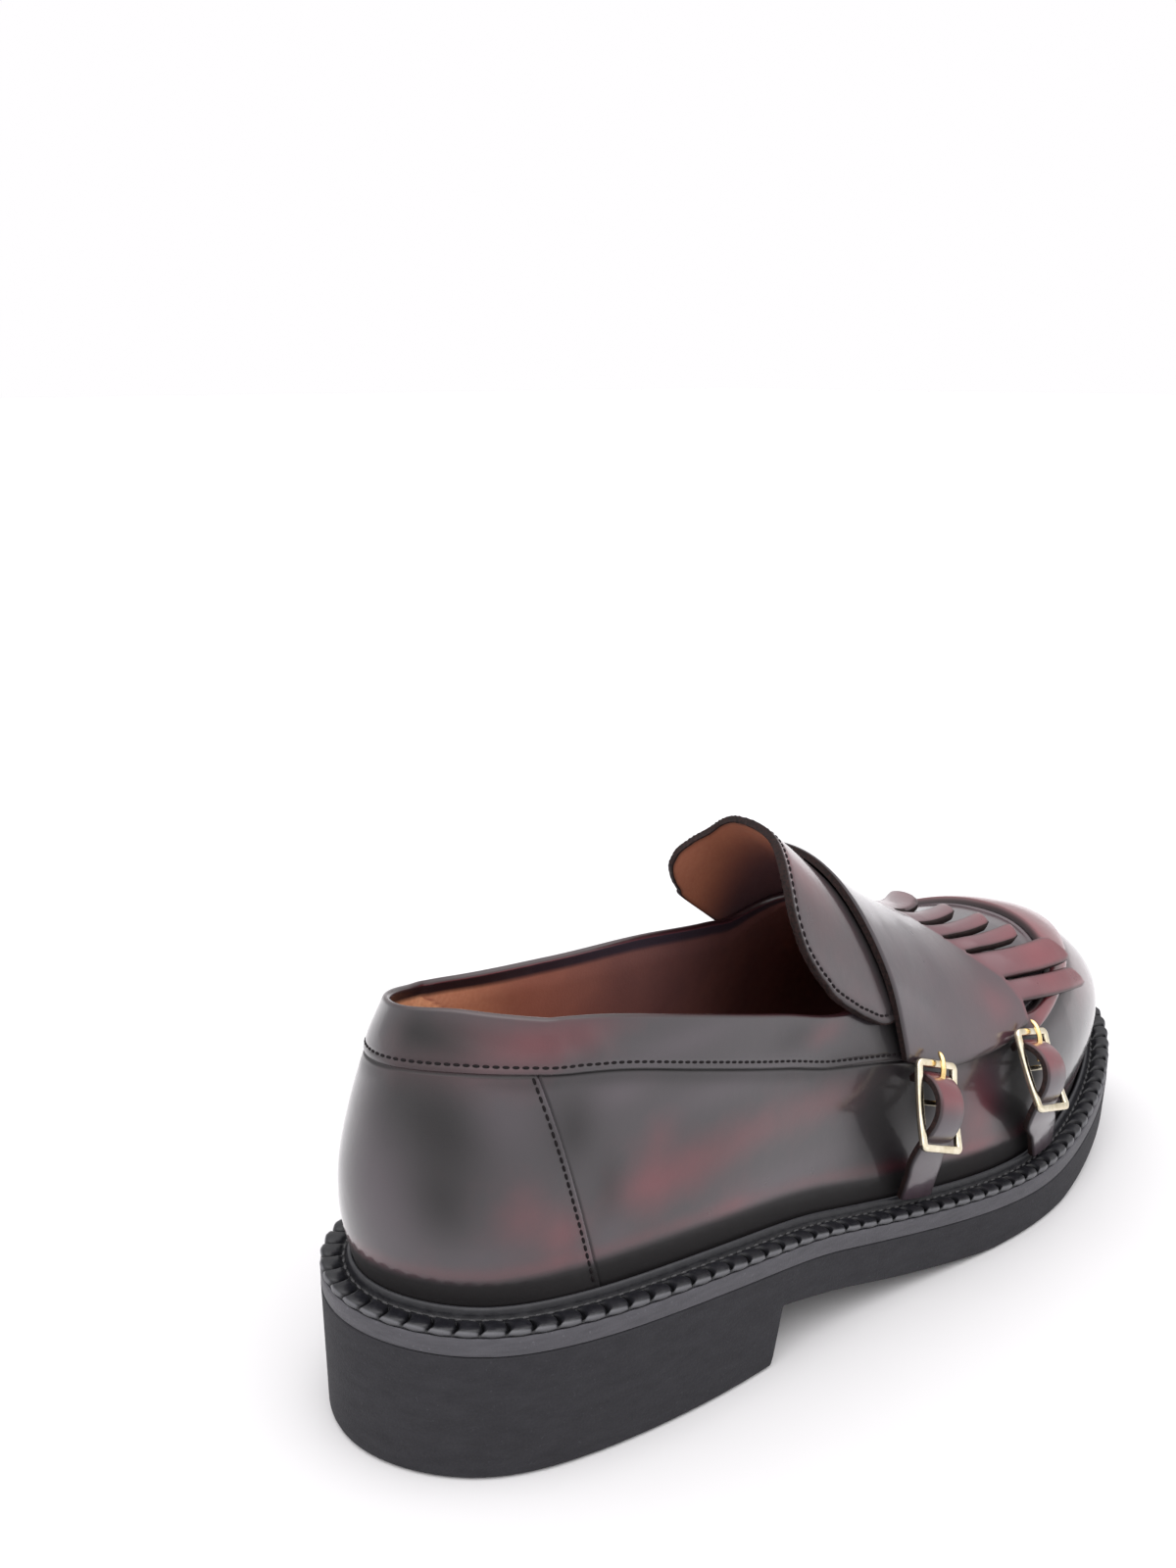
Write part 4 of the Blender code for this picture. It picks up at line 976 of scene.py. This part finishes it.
class Upper:
    """Lines of the upper at every column: band edge or lip, groove and upper end."""

    def __init__(self):
        self.places, self.stations, self.spine = upper_columns()
        self.side = np.where((self.places > 0) & (self.places < 0.5), 1, -1)
        self.closed = self.spine > CLOSE_FROM
        self.sections = [Section(*pair) for pair in zip(self.places, self.closed)]
        behind, ahead = {}, {}
        for s in (1, -1):
            behind[s] = Section(place_at(FEATHER, LINE_FROM, s), False).end - BAND
            section = Section(place_at(FEATHER, LINE_TO, s), True)
            ahead[s] = (section.apron(LIP_PLAN), section.apron(GROOVE_PLAN))
        rows = []
        for section, y, side in zip(self.sections, self.stations, self.side):
            end = section.end
            if y <= LINE_FROM:
                edge, groove = end - BAND, end - BAND / 2
            elif y > LINE_TO:
                edge, groove = section.apron(LIP_PLAN), section.apron(GROOVE_PLAN)
            else:
                blend = float(step(LINE_FROM, LINE_TO, y))
                lip, seam = ahead[side]
                edge = behind[side] + (lip - behind[side]) * blend
                groove = edge + BAND / 2 + (seam - lip - BAND / 2) * blend
            rows.append((edge, groove, end))
        self.edge, self.groove, self.end = np.array(rows, float).T
        self.apron = step(APRON_FROM, APRON_TO, self.stations)
        outer, inner = (from_heel(place_at(FEATHER, SEAM, s))[0] for s in (1, -1))
        seam_at = np.where(self.side > 0, outer, inner)
        self.past_seam = (from_heel(self.places)[0] - seam_at) * round_length(FEATHER)

    def at(self, reach, offset):
        """Points at (rows, columns) of reaches, standing off the last by offset."""
        pairs = np.array([s.at(reach[:, k]) for k, s in enumerate(self.sections)])
        return last_point(*pairs.transpose(1, 2, 0), offset)

    def proud(self, reach):
        """How far the leather stands off the last."""
        to_edge = reach - self.edge
        to_groove = reach - self.groove
        counter = COUNTER_STEP * step(0.35, -0.1, self.past_seam) * np.ones_like(reach)
        counter = counter - 0.2 * hump(self.past_seam, 0.4, 0.3)
        counter = counter - 0.15 * hump(self.past_seam, -COUNTER_ROW, 0.5)
        above = BAND_STEP + (LIP_STEP - BAND_STEP) * self.apron
        cut_edge = 0.3 * np.exp(-np.clip(to_edge, 0, None) / 0.45)
        across_lip = np.clip(to_edge / (self.groove - self.edge), 0, 1)
        above = above - cut_edge + 0.3 * self.apron * np.sin(math.pi * across_lip)
        plug = -PLUG_DROP + 0.35 * hump(to_groove, 1.6, 0.9)
        above = above + (plug - above) * self.apron * step(-0.35, 0.5, to_groove)
        above = above - 1.3 * self.apron * hump(to_groove, 0.0, 0.55)
        above = above - 0.22 * hump(to_edge, BAND_ROW, 0.5) * (1 - self.apron)
        under = counter - 0.3 * hump(to_edge, -0.3, 0.35)
        offset = under + (above - under) * step(-0.16, 0.16, to_edge)
        return offset - 0.5 * np.where(self.closed, 0, 1) * step(9.0, 0.0, self.end - reach)

    def tone(self, points, reach):
        """Red, dark and sheen shares of the outer leather: wine red, painted shade and painted
        grey reflections.
        """
        to_edge = reach - self.edge
        to_groove = reach - self.groove
        below = to_edge < 0
        in_lip = self.apron * step(-0.3, 0.5, to_edge) * step(0.4, -0.6, to_groove)
        toe = hump(points[..., 1], TOE_WINE, 20.0) * step(46, 56, points[..., 2])
        red = (0.85 * patches(points, RED_PATCHES) + 0.3 * hump(reach, 10.5, 2.2)
               + 0.35 * toe)
        red = np.maximum(red, 0.95 * in_lip)
        behind = smooth(SADDLE_REAR, 1, SADDLE_BESIDE) - points[..., 1]
        shadow = step(13.0, 0.0, behind) * step(-35.0, -20.0, behind)
        shadow = shadow * step(60, 66, points[..., 2])
        # painted shade and dark reflection along the upper's foot, over the welt
        dark = 0.97 * step(9.8, 7.0, reach)
        # painted shadow of the saddle, darker tone and painted shade in patches, painted
        # shadow under the band's edge, painted shade in the apron's groove and at the
        # counter's edge
        for share in (0.9 * shadow * (points[..., 0] > 0),
                      patches(points, DARK_TONE_AND_SHADE_PATCHES) * (1 - in_lip),
                      0.85 * hump(to_edge, -0.5, 0.7), 0.4 * hump(to_edge, -2.0, 2.2),
                      0.9 * self.apron * hump(to_groove, 0.0, 1.1),
                      0.7 * hump(self.past_seam, 0.5, 0.35) * below):
            dark = np.maximum(dark, share)
        # painted grey reflections in patches, and painted highlights along the counter's edge,
        # the lip's edge and over the plug
        sheen = 0.22 + patches(points, SHEEN_PATCHES) * 0.8
        sheen = sheen + 0.5 * hump(self.past_seam, -0.1, 0.3) * below
        sheen = sheen * (1 - 0.8 * np.clip(red, 0, 1)) * (1 - in_lip)
        sheen = sheen + 0.7 * self.apron * hump(to_edge, 0.1, 0.3)
        sheen = sheen + 0.3 * self.apron * step(0.8, 2.0, to_groove)
        return tones(red, dark, np.clip(sheen, 0, 1))


def dress_upper():
    """Outer leather and lining of the upper, joined at the foot and round the collar."""
    u = Upper()
    is_open = np.where(u.closed, 0, 1)
    reach = spread(np.stack([0 * u.edge, u.edge - 1.2, u.edge - 0.2, u.edge + 0.2,
                             u.edge + 1.2, u.groove - 1.5, u.groove + 1.5, u.end - 1.5,
                             u.end]), OUTER_ROWS)
    base = u.at(reach, 0.0)
    outer = u.at(reach, u.proud(reach) - crease_depth(base) * step(0, 6, reach))
    inner_reach = spread(np.stack([0 * u.end, u.end - 8.0, u.end]), INNER_ROWS)
    depth = u.end - inner_reach
    thin = 0.6 * step(8.0, 0.0, depth) * is_open
    soft = crease_depth(u.at(inner_reach, 0.0)) * step(0, 6, inner_reach)
    inner = u.at(inner_reach, -WALL + thin - soft)
    y = u.spine[u.closed]
    pole_x, height = ridge(y)[:2]
    slope = (smooth(RIDGE, 1, y + 2) - smooth(RIDGE, 1, y - 2)) / 4
    length = np.hypot(1, slope)
    plug = BAND_STEP + (-PLUG_DROP - BAND_STEP) * step(APRON_FROM, APRON_TO, y)
    for grid, off in ((outer, plug), (inner, -WALL)):
        grid[0, :, 2] = top(u.stations) + FOOT_LIFT
        grid[-1, u.closed] = np.stack([pole_x, y - slope / length * off,
                                       height + off / length], -1)
    skin = Skin()
    up = skin.add(outer, u.tone(base, reach))
    facing = step(FACING + 0.25, FACING - 0.25, depth) * is_open
    corner = np.clip(1 - (depth - FACING) / 5.0, 0, 1) ** 2
    past = u.stations + 5.0 * corner
    grip = np.maximum(step(GRIP_END + 0.7, GRIP_END - 0.7, past),
                      0.45 * step(GRIP_END + 22.0, GRIP_END, u.stations))
    grip = grip - 0.5 * hump(past, GRIP_END, 0.5)
    shade = np.maximum(0.7 * step(14.0, 2.0, inner_reach), 0.75 * step(60, 110, u.stations))
    down = skin.add(inner, tones(facing, grip, shade))
    skin.grid(up, 0, wrap=True)
    skin.grid(down, 1, wrap=True)
    skin.grid(np.stack([up[0], down[0]]), 0, wrap=True)
    high, low = outer[-1], inner[-1]
    rise = unit(high - outer[-4])
    rim = [up[-1]]
    for turn in (0.2, 0.4, 0.6, 0.8):
        angle = turn * math.pi
        middle = (high + low) / 2 + (high - low) / 2 * math.cos(angle)
        rim.append(skin.add(middle + rise * COLLAR_ROLL * 0.7 * math.sin(angle), RIM_TONE))
    rim = np.array(rim + [down[-1]])
    rim = np.concatenate([rim, rim[:, :1]], 1)
    cell = np.nonzero(~(u.closed & np.roll(u.closed, -1)))[0]
    skin.quads(rim[:-1, cell], rim[:-1, cell + 1], rim[1:, cell + 1], rim[1:, cell], 0)
    make("polished_upper", skin, [POLISHED, LINING], ["upper"], 70)
    dress_seams(u)


def dress_seams(u):
    """Stitches along the band, inside the apron's groove and behind the counter."""
    seams = Skin()

    def sew_row(reach, columns, soft, *style):
        """Stitches at one reach of each column, in the order of the columns."""
        rows = np.stack([reach, reach])
        points = u.at(rows, u.proud(rows) - soft * crease_depth(u.at(rows, 0.0)))[0]
        away = u.at(rows, np.full(rows.shape, 3.0))[0]
        sew(seams, points[columns], (away - points)[columns], *style)

    order = np.argsort(np.where(u.places > 0.5, u.places - 1, u.places))
    sew_row(u.edge + BAND_ROW, order[u.stations[order] < BAND_SEAM_END], 1)
    lip = np.nonzero((u.stations > LIP_SEAM_FROM) & (u.places > 0) & (u.places < 1))[0]
    sew_row(u.groove + GROOVE_ROW, lip[np.argsort(u.places[lip])], 0, 2.5, 1.8, 0.34, 0.15)
    for side in (1, -1):
        k = int(np.argmin(np.abs(u.past_seam + COUNTER_ROW) + 99 * (u.side != side)))
        place = u.sections[k].at(np.linspace(3.0, u.edge[k] - 0.5, 90))
        points = last_point(*place, COUNTER_STEP)
        sew(seams, points, last_point(*place, 3.0) - points)
    make("quarter_stitches", seams, [DARK_THREAD])


# ---- tongue
GIRTH_MM = 82.0  # length of half a section, for measuring across the foot
TONGUE_SEAM = 1.8  # the stitches run this far in from its edge


def tongue_rear(share):
    size = np.abs(share)
    return np.where(share > 0, smooth(TONGUE_TOP, 1, size), smooth(TONGUE_TOP, 2, size))


def nearest(points, line):
    """Distance of flat points to a polyline's points."""
    return np.sqrt(((points[..., None, :] - line) ** 2).sum(-1)).min(-1)


def dress_tongue():
    def tongue_flat(shares, station):
        """Girth at shares of the half width, laid flat in millimetres, and station."""
        return np.stack([shares * tongue_side(station, shares > 0) * GIRTH_MM, station], -1)

    shares = np.sin(np.linspace(-math.pi / 2, math.pi / 2, 131))
    rear = tongue_rear(shares)
    station = rear + (TONGUE_FRONT - rear) * np.linspace(0, 1, 70)[:, None] ** 1.4
    girth = shares * tongue_side(station, shares > 0)
    fine = np.sin(np.linspace(-math.pi / 2, math.pi / 2, 401))
    line = tongue_flat(fine, tongue_rear(fine))
    sides = [tongue_flat(np.full(60, side), np.linspace(start, 170, 60))
             for side, start in ((-1.0, 135), (1.0, 130.5))]
    near = nearest(np.stack([girth * GIRTH_MM, station], -1),
                   np.concatenate([line[::2]] + sides))
    drop = rounded(near, 0.6)
    stitch = 0.22 * hump(near, TONGUE_SEAM, 0.5)
    high = over(station, girth, TONGUE_UNDER + LEATHER - drop - stitch)
    low = over(station, girth, TONGUE_UNDER + 0.6 * drop)
    red = (0.10 + 0.6 * hump(girth, 0.27, 0.12) * hump(station, 122.0, 8.0)
           + 0.5 * hump(girth, -0.2, 0.12) * hump(station, 130.0, 10.0))
    shadow = step(6.0, 0.5, smooth(SADDLE_REAR, 1, girth) - station)
    dark = np.maximum(0.95 * hump(near, 0.0, 1.1), 0.9 * shadow * step(-0.1, 0.25, girth))
    inside = step(24.0, 4.0, station - 119.0)
    skin = Skin()
    # outer face: painted grey sheen and painted shadow of the saddle; lining: painted shade
    # under the saddle
    skin.sheet(high, low, tones(red, dark, 0.25),
               tones(0.8 * hump(near, 0.0, 0.8), 0.2 * inside, 1 - inside),
               cut=close_to(near, INK_REACH))
    make("tongue_flap", skin, [POLISHED, LINING, EDGE_INK], ["tongue"], 60)
    inward = unit(np.stack([-(line[2:, 1] - line[:-2, 1]), line[2:, 0] - line[:-2, 0]], 1))
    inward *= np.sign(inward @ (0.0, 1.0) + 1e-9)[:, None]
    seam = line[1:-1] + inward * TONGUE_SEAM
    half = tongue_side(seam[:, 1], seam[:, 0] > 0)
    seam = seam[np.abs(seam[:, 0] / GIRTH_MM) < half - 0.9 * TONGUE_SEAM / GIRTH_MM]
    beside = np.linspace(seam[-1, 1] + 0.5, 143.0, 20)
    last = tongue_flat(np.ones(20), beside) - (TONGUE_SEAM, 0.0)
    seam = np.concatenate([seam, last])
    path, away = (over(seam[:, 1], seam[:, 0] / GIRTH_MM, TONGUE_UNDER + LEATHER + more)
                  for more in (-0.15, 2))
    seams = Skin()
    sew(seams, path, away - path)
    make("tongue_stitches", seams, [DARK_THREAD])


# ---- saddle and fringe
BAND_ROWS = 46  # rows of points in the saddle's band
STRIP_COLUMNS = 14  # columns of cells in a strip
STRIP_ROWS = 34  # and rows


def draped_height(station, girth):
    """The saddle's underside, eased down the tongue's sides as leather drapes."""
    side = tongue_side(station, girth > 0)
    share = (1 - step(side - 0.12, np.minimum(side + 0.40, 0.82), np.abs(girth))) * (
        1 - step(TONGUE_FRONT - 2, TONGUE_FRONT + 24, station))
    return SADDLE_UNDER + (SADDLE_OVER - SADDLE_UNDER) * share


def dress_saddle():
    """Band over the instep whose front is cut into convex strips."""
    half = 0.5 * STRIP_GAP / GIRTH_MM
    side_end = SADDLE_SIDE[-1]
    controls = list(SADDLE_INNER)
    strips = []
    for inner, outer in zip(FRINGE[:-1], FRINGE[1:]):
        strips.append(len(controls))
        controls += [(inner[0] + half, inner[1]), (outer[0] - half, outer[1])]
    controls.append((side_end[1], side_end[0]))
    fine = []
    first_of = {}
    for k in range(len(controls) - 1):
        parts = 2 if k - 1 in strips and k + 1 in strips else 8
        if k in strips:
            parts = STRIP_COLUMNS
            first_of[k] = len(fine)
        fine += list(k + np.linspace(0, 1, parts, endpoint=False))
    fine.append(len(controls) - 1.0)
    girths, fronts = read(fine, np.arange(len(controls)), np.array(controls)).T
    count = len(fine)
    rows = np.linspace(0, 1, BAND_ROWS)[:, None] ** 1.15
    girth = np.broadcast_to(girths, (len(rows), count))
    for _ in range(4):
        rear = smooth(SADDLE_REAR, 1, girth)
        station = rear + (fronts - rear) * rows
        wide = smooth(SADDLE_SIDE, 1, station) / side_end[1]
        girth = girths * np.where(girths > 0, wide, 1)
    height = draped_height(station, girth)
    from_rear = station - smooth(SADDLE_REAR, 1, girth)
    from_side = (smooth(SADDLE_SIDE, 1, station) - girth) * GIRTH_MM
    from_front = np.where(np.arange(count) < first_of[strips[0]], fronts - station, 9.0)
    near = np.minimum(np.minimum(from_rear, from_side), from_front)
    band = np.stack([station, girth, height, near, 0 * near])
    grown = np.zeros((5, STRIP_ROWS, count))
    solid = np.zeros((len(rows) - 1 + STRIP_ROWS, count - 1), bool)
    solid[:len(rows) - 1] = True
    p = np.linspace(0, 1, STRIP_ROWS + 1)[1:, None]
    u = np.linspace(0, 1, STRIP_COLUMNS + 1)
    taper = 1 - (1 - CLIP) * np.clip((p - 0.90) / 0.10, 0, 1) ** 1.2
    lift = step(0, 0.3, p)
    for first, row in zip(strips, FRINGE):
        columns = slice(first_of[first], first_of[first] + STRIP_COLUMNS + 1)
        solid[len(rows) - 1:, columns.start:columns.stop - 1] = True
        root_y, root_g, root_z = band[:3, -1, columns]
        tip_y = row[2] + (row[4] - row[2]) * u
        tip_g = row[3] + (row[5] - row[3]) * u
        y, g = (v.mean(1)[:, None] + (v - v.mean(1)[:, None]) * taper
                for v in (root_y + (tip_y - root_y) * p, root_g + (tip_g - root_g) * p ** 1.3))
        width = (g[:, -1] - g[:, 0])[:, None] * GIRTH_MM
        long = np.hypot(tip_y.mean() - root_y.mean(),
                        (tip_g.mean() - root_g.mean()) * GIRTH_MM)
        z = root_z * (1 - lift) + FRINGE_UNDER * lift + row[6] * p ** 2
        crown = 0.75 * (1 - (2 * u[None] - 1) ** 2) * np.clip(p / 0.25, 0, 1)
        grown[:, :, columns] = (
            y, g, z, np.minimum(np.minimum(u, 1 - u) * width, (1 - p) * long), crown)
    station, girth, height, near, crown = np.concatenate([band, grown], 1)
    drop = rounded(near, EDGE_ROUND)
    low = over(station, girth, height + 0.35 * crown)
    high = over(station, girth, height + LEATHER - drop + 0.6 * crown)
    in_strip = (np.arange(len(station)) >= len(rows) - 1)[:, None] * np.ones(count)
    red = 0.08 + 0.62 * in_strip + 0.12 * step(152, 186, station) * step(-1.0, -0.2, girth)
    red = red + 0.40 * hump(girth, 0.50, 0.07) * hump(station, 187.0, 7.0)
    red = red + 0.35 * hump(girth, -0.7, 0.2) * hump(station, 165.0, 12.0)
    # painted grey sheen: over the band, fading along the strips to their tips, and stronger
    # over the outer side towards the rear
    sheen = 0.45 - 0.35 * in_strip + 0.35 * in_strip * step(214, 194, station)
    sheen = sheen + 0.25 * hump(girth, 0.25, 0.3) * step(190, 160, station)
    skin = Skin()
    skin.sheet(high, low, tones(red, 0.8 * hump(near, 0.0, 0.8), sheen), (0.0, 0.0, 0.0),
               solid, (0, 1, 1), close_to(near, INK_REACH))
    make("fringed_saddle", skin, [POLISHED, EDGE_INK], ["saddle"], 50)


# ---- straps, buckles and prongs
def through(points, count):
    """Smooth line through points, read at count places."""
    knots = reach_along(points)
    table = np.column_stack([knots, points])
    at = np.linspace(0, knots[-1], count)
    return np.stack([smooth(table, k, at) for k in (1, 2, 3)], 1)


def dress_strap(row):
    middle, along, down, out, height = frame_axes(row)
    rise = SADDLE_UNDER + LEATHER / 2
    foot = row[6]

    def on_upper(station, girth, offset):
        return over(station, np.array([girth]), np.array([offset]))[0]

    rough = [on_upper(middle[1] - 0.6, row[5], rise)]
    rough += [middle + down * b * height + out * n for b, n in STRAP_PATH]
    end = on_upper(foot, FOOT_GIRTH, rise + 0.2)
    rough = np.array(rough + [(rough[-1] + end) / 2, end])
    knots = reach_along(rough)
    bend, leave, meet, tail = knots[4], knots[6], knots[8], knots[-1]
    path = through(rough, STRAP_ROWS)
    at = np.linspace(0, tail, len(path))
    ground = on_upper(foot + 1, FOOT_GIRTH, rise) - on_upper(foot - 1, FOOT_GIRTH, rise)
    ground /= np.linalg.norm(ground)
    share = step(meet, tail, at)[:, None]
    tangent = unit(np.gradient(path, axis=0))
    wide = along + (ground - along) * share
    wide -= (1 - share) * np.sum(wide * tangent, axis=1)[:, None] * tangent
    wide = unit(wide)
    normal = unit(np.cross(tangent, wide))[:, None]
    half = (STRAP + (STRAP_FOOT - STRAP)
            * np.clip((at - meet) / (tail - meet), 0, 1))[:, None] / 2
    u = np.linspace(-1, 1, STRAP_COLUMNS)
    u = np.sign(u) * np.abs(u) ** 0.8
    flat = path[:, None] + (half * u)[:, :, None] * wide[:, None]
    near = np.minimum((1 - np.abs(u))[None] * half, at[:, None] + 0.05)
    drop = rounded(near, EDGE_ROUND)
    crown = 0.25 * (1 - u ** 2)
    high = flat + normal * (LEATHER / 2 - drop + crown)[..., None]
    low = flat - normal * (LEATHER / 2 - 0.5 * drop - 0.3 * crown)[..., None]
    worn = 0.1 + 0.8 * step(leave, bend, at) + 0.5 * step(meet, tail, at)
    # painted shade where the strap runs under the buckle's lower bar
    tucked = step(knots[7], meet, at) * (1 - step(meet, meet + 6.0, at))
    dark = 0.8 * hump(near, 0.0, 0.7) + 0.08 * tucked[:, None]
    # painted grey sheen on the strap from the top of its arch down to its foot
    sheen = (0.1 + 0.85 * step(bend, leave, at))[:, None]
    red = np.clip(worn[:, None], 0, 1) * (1 - 0.5 * sheen)
    skin = Skin()
    skin.sheet(high, low, tones(red, dark, sheen), (0.0, 0.0, 0.0), kinds=(0, 1, 1))
    make("side_strap_" + row[0], skin, [POLISHED, EDGE_INK], ["strap_" + row[0]], 50)


def rounded_bar(turns, wide, deep, sharp):
    """Cross-section of a bar with softened corners."""
    angle = np.arange(turns) * 2 * math.pi / turns
    return [size / 2 * np.sign(v) * np.abs(v) ** (2 / sharp)
            for size, v in ((wide, np.cos(angle)), (deep, np.sin(angle)))]


CORNER = 1.1  # radius of a buckle's corners
CROSSBAR = 1.5  # thickness of the bar its strap turns round


def dress_buckle(row):
    """Rectangular frame with softened corners, its sides dipping in the middle."""
    middle, along, down, out, height = frame_axes(row)
    half = row[4] / 2 - BAR / 2
    low, high = BAR / 2, height - BAR / 2
    line = []
    for x, y, start in ((half, low, -0.5), (half, high, 0.0), (-half, high, 0.5),
                        (-half, low, 1.0)):
        cx = x - math.copysign(CORNER, x)
        cy = y + (CORNER if y < height / 2 else -CORNER)
        for turn in np.linspace(0, 0.5, 9):
            angle = (start + turn) * math.pi
            line.append((cx + CORNER * math.cos(angle), cy + CORNER * math.sin(angle)))
    line = np.array(line + line[:1])
    reach = reach_along(line)
    at = np.unique(np.concatenate([np.linspace(0, reach[-1], 90, endpoint=False),
                                   reach[:-1]]).round(4))
    flat = read(at, reach, line)
    ahead = unit(np.roll(flat, -1, 0) - np.roll(flat, 1, 0))
    side = np.stack([ahead[:, 1], -ahead[:, 0]], 1)
    across, deep = rounded_bar(20, BAR, BAR_DEEP, 4.0)
    dip = -FRAME_BOW * np.sin(math.pi * np.clip(flat[:, 1] / height, 0, 1))
    spot = flat[:, None] + across[:, None] * side[:, None]
    skin = Skin()
    skin.tube(middle + spot[..., :1] * along + spot[..., 1:] * down
              + (dip[:, None] + deep)[..., None] * out, closed=True)
    across, deep = rounded_bar(14, CROSSBAR, CROSSBAR, 2.4)
    ends = np.linspace(-half, half, 9)
    skin.tube(middle + ends[:, None, None] * along
              + (0.44 * height + 0.75 + across)[:, None] * down
              + (deep - FRAME_BOW)[:, None] * out)
    make("frame_buckle_" + row[0], skin, [FRAME_METAL], ["buckle_" + row[0]], 40)


def dress_prong(row):
    middle, along, down, out, height = frame_axes(row)
    rough = np.array([middle + down * b * height + out * n for b, n in PRONG_PATH])
    path = through(rough, 34)
    normal = unit(np.cross(unit(np.gradient(path, axis=0)), along))
    size = np.linspace(1, 0.72, len(path))
    size[-4:] *= (0.97, 0.9, 0.7, 0.35)
    turn = np.arange(14) * 2 * math.pi / 14
    twist = np.linspace(0, 1.3, len(path))[:, None] + turn
    flat = 1 + 0.16 * np.cos(2 * twist)
    skin = Skin()
    skin.tube(path[:, None] + (PRONG * size[:, None] * flat)[..., None] * (
        np.cos(turn)[:, None] * along + np.sin(turn)[:, None] * normal[:, None]))
    make("buckle_prong_" + row[0], skin, [PRONG_METAL], ["prong_" + row[0]], 40)


# ---- camera, floor and light
CAMERA_AT = (248.0, -139.0, 235.6)  # in shoe space, mm
CAMERA_AZIMUTH = 49.94
CAMERA_DOWN = 15.82
CAMERA_ROLL = -0.06
LENS = 33.75
FLOOR = 12.0  # half the floor's width (m)


def place_camera():
    a, e = math.radians(CAMERA_AZIMUTH), math.radians(CAMERA_DOWN)
    ahead = np.array([-math.sin(a) * math.cos(e), math.cos(a) * math.cos(e), -math.sin(e)])
    right = np.array([math.cos(a), math.sin(a), 0.0])
    data = bpy.data.cameras.new("camera")
    data.lens = LENS
    data.sensor_width = 36.0
    data.clip_start = 0.01
    data.clip_end = 60.0
    camera = show("camera", data)
    turn = Matrix((right, np.cross(right, ahead), -ahead)).transposed().to_4x4()
    roll = Matrix.Rotation(math.radians(CAMERA_ROLL), 4, "Z")
    camera.matrix_world = Matrix.Translation(shoe_to_part(CAMERA_AT)) @ turn @ roll
    bpy.context.scene.camera = camera


def place_floor():
    n = Nodes("pale_floor")
    colour = n.mix(n.noise(3.0, 2.0), (0.62, 0.615, 0.62), (0.64, 0.635, 0.64))
    material = n.shade(Base_Color=colour, Roughness=0.8, Specular_IOR_Level=0.0)
    mesh = bpy.data.meshes.new("floor")
    corners = ((-1, -1), (1, -1), (1, 1), (-1, 1))
    mesh.from_pydata([(x * FLOOR, y * FLOOR, 0) for x, y in corners], [], [(0, 1, 2, 3)])
    floor = show("floor", mesh, [material])


HORIZON = 1.30  # brightness of the studio walls round the camera
FAR_WALL = 0.70  # and of the wall behind the shoe
CEILING = 3.1  # and of the soft box that fills the ceiling
FAR_CEILING = 1.7  # where it dims behind the shoe
BOX_LOW = 0.45  # the box fades in between these heights of the view
BOX_HIGH = 0.90
BACKDROP = 1.0


def place_light():
    """White tent: pale walls and a large soft box overhead, plain white behind the shoe."""
    n = Nodes("studio", "worlds", "Background")
    place = n.new("TexCoord").outputs["Generated"]
    height = n.new("SeparateXYZ", Vector=place).outputs["Z"]
    turn = math.radians(CAMERA_AZIMUTH)
    facing = n.new("VectorMath", (("operation", "DOT_PRODUCT"),), Vector=place)
    n.put(facing.inputs[1], (-math.sin(turn), math.cos(turn), 0.0))
    low, high = (n.span(facing.outputs["Value"], -0.2, 0.6, near, far, "SMOOTHSTEP")
                 for near, far in ((HORIZON, FAR_WALL), (CEILING, FAR_CEILING)))
    light = n.span(height, BOX_LOW, BOX_HIGH, low, high, "SMOOTHSTEP")
    seen = n.new("Mix", (("data_type", "FLOAT"),))
    camera_ray = n.new("LightPath").outputs["Is Camera Ray"]
    for k, value in ((0, camera_ray), (2, light), (3, BACKDROP)):
        n.put(seen.inputs[k], value)
    bpy.context.scene.world = n.shade(Color=(1.0, 0.99, 1.0, 1.0), Strength=seen.outputs[0])
    bpy.context.scene.view_settings.view_transform = "Standard"


dress_outsole()
dress_midsole()
dress_welt()
dress_insole()
dress_upper()
dress_tongue()
dress_saddle()
for buckle_row in BUCKLES:
    dress_strap(buckle_row)
    dress_buckle(buckle_row)
    dress_prong(buckle_row)
place_floor()
place_light()
place_camera()
